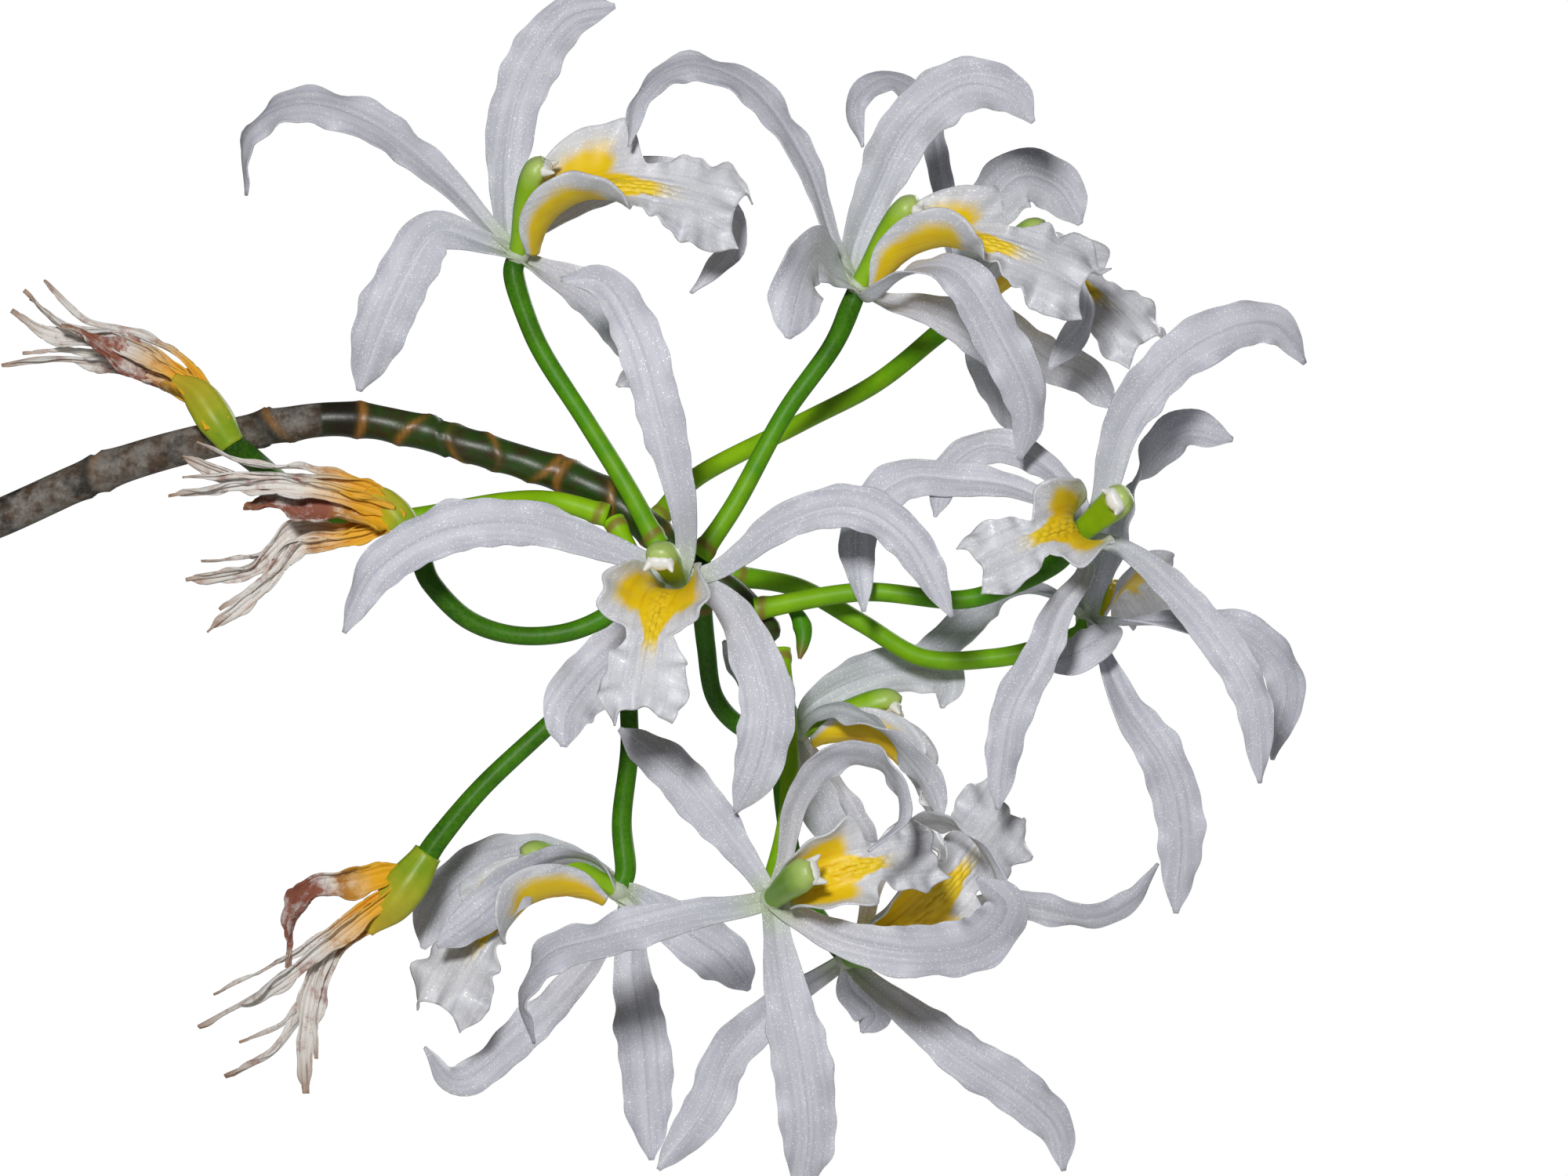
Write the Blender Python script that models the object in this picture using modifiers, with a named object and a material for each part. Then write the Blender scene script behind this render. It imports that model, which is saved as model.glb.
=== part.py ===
"""A potted orchid: a white laelia with yellow-throated lips, on one arching stem, in a plain clay pot.

The origin is the middle of the pot's foot, on the surface that it stands on. +Z is up, and the flower
head hangs out over +X, with its front towards -Y. Run: blender --background --python part.py
"""

import math

import bmesh
import bpy
from mathutils import Matrix, Vector

MM = 0.001
GAP = 0.4 * MM

# The clay pot and what fills it.
POT_HEIGHT = 135 * MM
POT_FOOT_RADIUS = 55 * MM
POT_TOP_RADIUS = 74 * MM
POT_WALL = 6 * MM
RIM_HEIGHT = 26 * MM
RIM_STEP = 5 * MM
DRAIN_RADIUS = 6 * MM
DRAIN_CIRCLE = 30 * MM
DRAIN_HOLES = 4
POT_STEPS = 32
BARK_TOP = 112 * MM
BARK_MOUND = 3 * MM

# The lead growth stands over the pot's middle, and the flower stem leaves its top.
BULB_HEIGHT = 172 * MM
BULB_RADIUS = 21 * MM
BULB_FLATTEN = 0.72
BULB_TOP_RADIUS = 10.2 * MM
BULB_STEPS = 14
LEAF_THICKNESS = 2.6 * MM

# The head's own frame: millimetres from the hub, where the flower stalks leave the stem.
HUB = Vector((0.250, 0.0, 0.745))
STEM_BASE = -460
FRONT = Vector((0, -1, 0))

# One flower.
RECEPTACLE_RADIUS = 3.5 * MM
TEPAL_THICKNESS = 1.3 * MM
TEPAL_SET_BACK = 1.4 * MM
TEPAL_BASE_WIDTH = 4.6 * MM
TEPAL_TIP_WIDTH = 1.6 * MM
TEPAL_SECTIONS = 8
LIP_LENGTH = 60 * MM
LIP_THICKNESS = 1.2 * MM
LIP_SECTIONS = 10
LIP_COLUMNS = 6
LIP_OFFSET = 5.0 * MM
LIP_LIFT = 2.2 * MM
COLUMN_LENGTH = 27 * MM
COLUMN_RADIUS = 3.3 * MM
PEDICEL_RADIUS = 2.6 * MM
PEDICEL_REACH = 5.9 * MM
PEDICEL_SECTIONS = 9
SPENT_THICKNESS = 1.6 * MM


# ---------------------------------------------------------------- scene, materials, objects

def clear_scene():
    for old in list(bpy.data.objects):
        bpy.data.objects.remove(old)


def collection(name):
    made = bpy.data.collections.new(name)
    bpy.context.scene.collection.children.link(made)
    return made


def finish(name, red, green, blue, roughness):
    """A Principled material with one colour."""
    material = bpy.data.materials.new(name)
    material.use_nodes = True
    shader = material.node_tree.nodes["Principled BSDF"]
    shader.inputs["Base Color"].default_value = (red, green, blue, 1)
    shader.inputs["Roughness"].default_value = roughness
    shader.inputs["Metallic"].default_value = 0.0
    return material


def add_object(name, data, material, group):
    made = bpy.data.objects.new(name, data)
    if material:
        data.materials.append(material)
    group.objects.link(made)
    return made


def hide_helper(helper):
    helper.hide_render = True
    helper.display_type = "WIRE"


def combine(target, other, operation):
    modifier = target.modifiers.new(f"{operation.lower()} {other.name}", "BOOLEAN")
    modifier.operation = operation
    modifier.object = other


def in_head(x, y, z):
    """A point in the flower head, given in millimetres from the hub."""
    return HUB + Vector((x, y, z)) * MM


# ---------------------------------------------------------------- paths and the shapes along them

def catmull_rom(a, b, c, d, t):
    return 0.5 * (2 * b + (c - a) * t + (2 * a - 5 * b + 4 * c - d) * t**2 + (3 * b - a - 3 * c + d) * t**3)


def smooth_path(points, count, steps=16):
    """count points, evenly spaced along a smooth curve through the given ones."""
    ends = [2 * points[0] - points[1], *points, 2 * points[-1] - points[-2]]
    fine = [
        catmull_rom(*ends[i : i + 4], step / steps)
        for i in range(len(points) - 1)
        for step in range(steps)
    ]
    fine.append(points[-1])
    run = [0.0]
    for a, b in zip(fine, fine[1:]):
        run.append(run[-1] + (b - a).length)
    found, at = [], 0
    for i in range(count):
        goal = run[-1] * i / (count - 1)
        while at < len(run) - 2 and run[at + 1] < goal:
            at += 1
        share = (goal - run[at]) / max(run[at + 1] - run[at], 1e-9)
        found.append(fine[at].lerp(fine[at + 1], min(share, 1.0)))
    return found


def tangents(path):
    last = len(path) - 1
    return [(path[min(i + 1, last)] - path[max(i - 1, 0)]).normalized() for i in range(len(path))]


def across(vector, tangent):
    """The part of vector that is square to the tangent."""
    return vector - vector.dot(tangent) * tangent


def ribbon_frames(path, base_face, face, roll):
    """(tangent, side, normal) along a path. The normal starts at base_face and soon turns towards face,
    and roll, two angles in degrees, then turns it about the path from the first end to the last."""
    normal = across(base_face, tangents(path)[0]).normalized()
    frames = []
    for i, tangent in enumerate(tangents(path)):
        normal = (across(normal, tangent) + (0.9 if i else 0.0) * across(face, tangent)).normalized()
        share = i / (len(path) - 1)
        turn = math.radians(roll[0] + (roll[1] - roll[0]) * share) * min(1.0, 4 * share)
        turned = Matrix.Rotation(turn, 3, tangent) @ normal
        frames.append((tangent, tangent.cross(turned).normalized(), turned))
    return frames


def stepped(stations, share):
    """The value at share of a list of (share, value) stations, in straight steps."""
    for (s0, v0), (s1, v1) in zip(stations, stations[1:]):
        if share <= s1:
            return v0 + (v1 - v0) * (share - s0) / (s1 - s0)
    return stations[-1][1]


def grid_mesh(name, rows):
    """An open sheet through rows of points."""
    across_count = len(rows[0])
    sheet = bmesh.new()
    bmesh.ops.create_grid(sheet, x_segments=across_count - 1, y_segments=len(rows) - 1, size=1)
    sheet.verts.ensure_lookup_table()
    for vertex, point in zip(sheet.verts, [point for row in rows for point in row]):
        vertex.co = point
    mesh = bpy.data.meshes.new(name)
    sheet.to_mesh(mesh)
    sheet.free()
    return mesh


def thicken(sheet, thickness):
    modifier = sheet.modifiers.new("thickness", "SOLIDIFY")
    modifier.thickness = thickness
    modifier.offset = 0.0


def ribbon(name, path, frames, widths, thickness, material, group):
    rows = [
        [point - side * width / 2, point + side * width / 2]
        for point, (_, side, _), width in zip(path, frames, widths)
    ]
    made = add_object(name, grid_mesh(name, rows), material, group)
    thicken(made, thickness)
    return made


def tube(name, path, radii, material, group, resolution=2):
    """A round stalk along a path, whose radius may change on the way."""
    curve = bpy.data.curves.new(name, "CURVE")
    curve.dimensions = "3D"
    curve.bevel_depth = 1.0
    curve.bevel_resolution = resolution
    curve.use_fill_caps = True
    spline = curve.splines.new("POLY")
    spline.points.add(len(path) - 1)
    for vertex, point, radius in zip(spline.points, path, radii):
        vertex.co = (*point, 1)
        vertex.radius = radius
    return add_object(name, curve, material, group)


def turned(name, profile, steps, material, group):
    """A profile of (radius, height) turned about Z. It runs up the inside and down the outside."""
    mesh = bpy.data.meshes.new(name)
    edges = [(i, i + 1) for i in range(len(profile) - 1)]
    mesh.from_pydata([(radius, 0, height) for radius, height in profile], edges, [])
    made = add_object(name, mesh, material, group)
    modifier = made.modifiers.new("turn", "SCREW")
    modifier.steps = steps
    modifier.render_steps = steps
    modifier.use_merge_vertices = True
    modifier.merge_threshold = 0.00002
    return made


# ---------------------------------------------------------------- the pot, the bark and the plant's foot

def make_pot(material, group, cutters):
    """A turned clay pot with a thicker band at the rim, and drain holes clear of its middle."""
    inner_foot = POT_FOOT_RADIUS - POT_WALL
    band_bottom = POT_HEIGHT - RIM_HEIGHT
    profile = [
        (0, POT_WALL),
        (inner_foot, POT_WALL),
        (POT_TOP_RADIUS - POT_WALL, POT_HEIGHT),
        (POT_TOP_RADIUS + RIM_STEP, POT_HEIGHT),
        (POT_TOP_RADIUS + RIM_STEP - 2 * MM, band_bottom),
        (outer_radius(band_bottom), band_bottom),
        (POT_FOOT_RADIUS, 0),
        (0, 0),
    ]
    pot = turned("pot", profile, POT_STEPS, material, group)
    for i in range(DRAIN_HOLES):
        angle = math.tau * (i + 0.5) / DRAIN_HOLES
        centre = (DRAIN_CIRCLE * math.cos(angle), DRAIN_CIRCLE * math.sin(angle), POT_WALL / 2)
        bpy.ops.mesh.primitive_cylinder_add(
            vertices=10, radius=DRAIN_RADIUS, depth=3 * POT_WALL, location=centre
        )
        hole = bpy.context.object
        hole.name = f"drain_cutter_{i + 1}"
        for holder in list(hole.users_collection):
            holder.objects.unlink(hole)
        cutters.objects.link(hole)
        hide_helper(hole)
        combine(pot, hole, "DIFFERENCE")


def outer_radius(height):
    """The pot's outer radius below the rim band."""
    return POT_FOOT_RADIUS + (POT_TOP_RADIUS - POT_FOOT_RADIUS) * height / POT_HEIGHT


def inner_radius(height):
    share = (height - POT_WALL) / (POT_HEIGHT - POT_WALL)
    inner_foot = POT_FOOT_RADIUS - POT_WALL
    return inner_foot + (POT_TOP_RADIUS - POT_WALL - inner_foot) * share


def make_bark(material, group):
    """The bark that fills the pot, flat under the growths and falling a little to the wall."""
    floor = POT_WALL + GAP
    shoulder = BARK_TOP - BARK_MOUND
    clearance = 2 * GAP
    profile = [
        (0, BARK_TOP),
        (inner_radius(BARK_TOP) * 0.8, BARK_TOP),
        (inner_radius(shoulder) - clearance, shoulder),
        (inner_radius(floor) - clearance, floor),
        (0, floor),
    ]
    turned("bark", profile, POT_STEPS, material, group)


# Each growth: where it stands from the pot's middle in mm, its height and its lean in degrees.
GROWTHS = [((0, 0), 1.0, 0.0), ((-27, 22), 0.88, -7.0), ((-34, -24), 0.78, -11.0)]
BULB_PROFILE = [(0.62, 0.0), (0.9, 0.12), (1.0, 0.32), (0.92, 0.56), (0.7, 0.8), (0.56, 0.94)]


def growth_matrix(place, lean):
    """Where a growth stands on the bark: its foot, tipped outwards about Y."""
    foot = Vector((place[0] * MM, place[1] * MM, BARK_TOP + GAP))
    lift = abs(math.sin(math.radians(lean))) * BULB_RADIUS * BULB_PROFILE[0][0]
    return Matrix.Translation(foot + Vector((0, 0, lift))) @ Matrix.Rotation(math.radians(lean), 4, "Y")


def make_pseudobulb(number, place, size, lean, material, group):
    """A flattened, spindle-shaped storage stem."""
    height = BULB_HEIGHT * size
    profile = [(0, height), (BULB_TOP_RADIUS, height)]
    profile += [(BULB_RADIUS * wide, height * up) for wide, up in reversed(BULB_PROFILE)]
    profile.append((0, 0))
    bulb = turned(f"pseudobulb_{number}", profile, BULB_STEPS, material, group)
    bulb.matrix_world = growth_matrix(place, lean) @ Matrix.Diagonal((1, BULB_FLATTEN, 1, 1))


# Each leaf: its growth, and its route in mm from that growth's top, with its width in mm.
LEAVES = [
    (0, [(-10, 0, 0.7), (-21, -6, 40), (-48, -16, 96), (-92, -30, 146), (-146, -46, 166)], 46),
    (0, [(10.6, 0, 0.7), (20.5, 10, 42), (40, 28, 96), (74, 52, 140), (118, 78, 154)], 44),
    (1, [(1, 4, 0.8), (-8, 22, 44), (-28, 54, 96), (-54, 96, 130), (-88, 142, 136)], 44),
    (1, [(-6, -3, 0.8), (-28, -5, 42), (-72, 8, 84), (-124, 24, 104), (-176, 42, 92)], 42),
    (2, [(-2, -1, 0.8), (-16, -20, 44), (-40, -54, 90), (-76, -90, 114), (-118, -126, 104)], 43),
]
LEAF_PROFILE = [(0, 0.2), (0.14, 0.5), (0.36, 0.92), (0.6, 1.0), (0.82, 0.8), (0.95, 0.4), (1, 0.1)]
LEAF_SECTIONS = 9


def make_leaf(number, growth, route, width, material, group):
    """A leathery strap leaf from a growth's top, channelled along its middle."""
    place, size, lean = GROWTHS[growth]
    top = growth_matrix(place, lean) @ Vector((0, 0, BULB_HEIGHT * size + GAP))
    path = smooth_path([top + Vector(point) * MM for point in route], LEAF_SECTIONS)
    frames = ribbon_frames(path, Vector((0, 0, 1)), Vector((0, 0, 1)), (0, 0))
    rows = []
    for i, (point, (_, side, normal)) in enumerate(zip(path, frames)):
        half = stepped(LEAF_PROFILE, i / (LEAF_SECTIONS - 1)) * width * MM / 2
        rise = normal * half * 0.3
        rows.append([point - side * half + rise, point, point + side * half + rise])
    leaf = add_object(f"leaf_{number}", grid_mesh(f"leaf_{number}", rows), material, group)
    thicken(leaf, LEAF_THICKNESS)


AERIAL_ROOT = [
    (-12, -34, 4), (-26, -48, 9), (-32, -54, 22), (-38, -63, 29.5), (-43, -70, 29.5), (-47, -76, 21),
    (-47, -77, 0), (-45, -73, -34),
]


def make_aerial_root(material, group):
    """A thick white root that has grown over the rim and down the pot."""
    points = [Vector((x * MM, y * MM, BARK_TOP + z * MM)) for x, y, z in AERIAL_ROOT]
    path = smooth_path(points, 16)
    tube("aerial_root", path, [2.0 * MM] * len(path), material, group)


# ---------------------------------------------------------------- the flower stem

STEM_ROUTE = [
    (-250, 0, STEM_BASE), (-250, 0, -430), (-250.4, 0, -400),
    (-256, 2, -330), (-263, 4, -250), (-266, 6, -180),
    (-262, 8, -120), (-249, 8, -68), (-226, 6, -28), (-198, 3, -3), (-170, 1, 8), (-140, 0, 21),
    (-110, 0, 29), (-80, 0, 33), (-46, 0, 25), (-16, 0, 14), (6, -4, -4), (18, -4, -12), (28, -2, -23),
]
STEM_RADII = [(0, 5.2), (0.3, 4.8), (0.7, 4.6), (0.85, 3.9), (0.93, 4.4), (1, 3.2)]
STEM_SECTIONS = 36
SHEATH_HEIGHT = 58 * MM
SHEATH_LIFT = 8


def make_stem(material, group):
    path = smooth_path([in_head(*point) for point in STEM_ROUTE], STEM_SECTIONS)
    radii = [stepped(STEM_RADII, i / (STEM_SECTIONS - 1)) * MM for i in range(STEM_SECTIONS)]
    tube("flower_stem", path, radii, material, group)


def make_sheath(material, group):
    """The dry papery sheath that the stem grew out of, a thin cone round its foot."""
    inner, wall = STEM_RADII[0][1] * MM + 2 * GAP, 0.8 * MM
    profile = [
        (inner, 0), (inner + 0.8 * MM, SHEATH_HEIGHT),
        (inner + 0.8 * MM + wall, SHEATH_HEIGHT), (inner + wall, 0), (inner, 0),
    ]
    sheath = turned("stem_sheath", profile, 10, material, group)
    sheath.location = in_head(-250, 0, STEM_BASE + SHEATH_LIFT)
    weld = sheath.modifiers.new("close the ring", "WELD")
    weld.merge_threshold = 0.00002


def make_bract(material, group):
    """The small pointed bract at the stem's end."""
    path = smooth_path([in_head(*point) for point in [(34, -2, -18), (35, -2, -22), (34, -3, -28)]], 4)
    tube("end_bract", path, [radius * MM for radius in (1.6, 1.8, 1.2, 0.3)], material, group, 1)


# ---------------------------------------------------------------- flowers

# The lip, from its foot to its tip: how far its floor has turned away from the column when it is fully
# open, in degrees, half its width over the surface in mm, and how far each side rolls up, in radians.
LIP_TURN = [(0, 4), (0.12, 16), (0.26, 42), (0.42, 72), (0.6, 90), (1, 108)]
LIP_HALF = [
    (0, 4.5), (0.11, 11), (0.22, 15.5), (0.33, 18.5), (0.43, 18.5),
    (0.53, 11), (0.62, 6.5), (0.75, 11), (0.9, 13.5), (1, 7),
]
LIP_ROLL = [
    (0, 1.2), (0.11, 1.75), (0.22, 1.75), (0.33, 1.65), (0.43, 1.35), (0.55, 0.9), (0.7, 0.3), (1, -0.45),
]
# How much of a flower's own twist the lip has taken on by then; the front lobe has it all.
LIP_TWIST = [(0, 0), (0.38, 0.05), (0.6, 0.75), (1, 1)]
COLUMN_ROUTE = [(0.17, 0.0), (0.5, 0.6), (0.8, 0.3), (1.0, -1.6)]
COLUMN_GIRTH = [(0, 0.8), (0.4, 1.0), (0.8, 1.12), (1, 0.75)]
TEPAL_PROFILE = [(0, 0.3), (0.15, 0.45), (0.4, 0.85), (0.62, 1.0), (0.82, 0.85), (0.94, 0.5), (1, 0.12)]


def make_tepals(name, flower, material, group, helpers):
    """Three sepals and two petals, one grown piece with the receptacle that they spread from."""
    centre, forward, _ = flower_axes(flower)
    bpy.ops.mesh.primitive_ico_sphere_add(subdivisions=2, radius=RECEPTACLE_RADIUS, location=centre)
    whorl = bpy.context.object
    whorl.name = f"{name}_tepals"
    for holder in list(whorl.users_collection):
        holder.objects.unlink(whorl)
    group.objects.link(whorl)
    whorl.data.materials.append(material)
    start = centre - forward * TEPAL_SET_BACK
    for part, (width, roll, route) in flower["tepals"].items():
        path = smooth_path([start, *[in_head(*point) for point in route]], TEPAL_SECTIONS)
        frames = ribbon_frames(path, forward, FRONT, roll)
        shares = [i / (TEPAL_SECTIONS - 1) for i in range(TEPAL_SECTIONS)]
        widths = [max(stepped(TEPAL_PROFILE, share) * width * MM, TEPAL_TIP_WIDTH) for share in shares]
        widths[0] = TEPAL_BASE_WIDTH
        blade = ribbon(f"{name}_{part}", path, frames, widths, TEPAL_THICKNESS, None, helpers)
        hide_helper(blade)
        combine(whorl, blade, "UNION")


def flower_axes(flower):
    """(centre, forward, belly): where the parts meet, where the column points, and the side the lip is on."""
    forward = Vector(flower["forward"]).normalized()
    belly = across(Vector(flower["belly"]), forward).normalized()
    return in_head(*flower["centre"]), forward, belly


def make_lip(name, flower, material, group):
    """A trough that wraps the column, narrows, then spreads into the front lobe."""
    centre, forward, belly = flower_axes(flower)
    side = forward.cross(belly)
    point = centre + forward * LIP_LIFT + belly * LIP_OFFSET
    rows = []
    step = LIP_LENGTH * flower["lip_size"] / (LIP_SECTIONS - 1)
    for i in range(LIP_SECTIONS):
        share = i / (LIP_SECTIONS - 1)
        turn = math.radians(stepped(LIP_TURN, share) * flower["lip_open"])
        inward = forward * math.sin(turn) - belly * math.cos(turn)
        half = stepped(LIP_HALF, share) * flower["lip_size"] * MM
        roll = stepped(LIP_ROLL, share)
        twist = stepped(LIP_TWIST, share) * flower.get("lip_twist", 0)
        beside = side * math.cos(twist) + inward * math.sin(twist)
        inward = inward * math.cos(twist) - side * math.sin(twist)
        rows.append([])
        for j in range(LIP_COLUMNS + 1):
            angle = roll * (2 * j / LIP_COLUMNS - 1)
            out = half / roll
            rows[-1].append(point + beside * out * math.sin(angle) + inward * out * (1 - math.cos(angle)))
        point = point + (forward * math.cos(turn) + belly * math.sin(turn)) * step
    lip = add_object(f"{name}_lip", grid_mesh(f"{name}_lip", rows), material, group)
    thicken(lip, LIP_THICKNESS)


def make_column(name, flower, material, group):
    """The green column over the lip's throat, bent down a little at its capped tip."""
    centre, forward, belly = flower_axes(flower)
    points = [centre + forward * COLUMN_LENGTH * along - belly * up * MM for along, up in COLUMN_ROUTE]
    path = smooth_path(points, 6)
    radii = [stepped(COLUMN_GIRTH, i / 5) * COLUMN_RADIUS for i in range(6)]
    tube(f"{name}_column", path, radii, material, group)


def make_pedicel(name, route, joint, material, group):
    """The flower's stalk. Where it has a joint to reach, it ends just behind the whorl there."""
    points = [in_head(*point) for point in route]
    if joint:
        reach = (points[-1] - joint).normalized() * PEDICEL_REACH
        points[-1] = joint + reach
    path = smooth_path(points, PEDICEL_SECTIONS)
    shares = [i / (PEDICEL_SECTIONS - 1) for i in range(PEDICEL_SECTIONS)]
    radii = [PEDICEL_RADIUS * (0.95 + 0.12 * share) for share in shares]
    tube(f"{name}_pedicel", path, radii, material, group)


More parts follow.
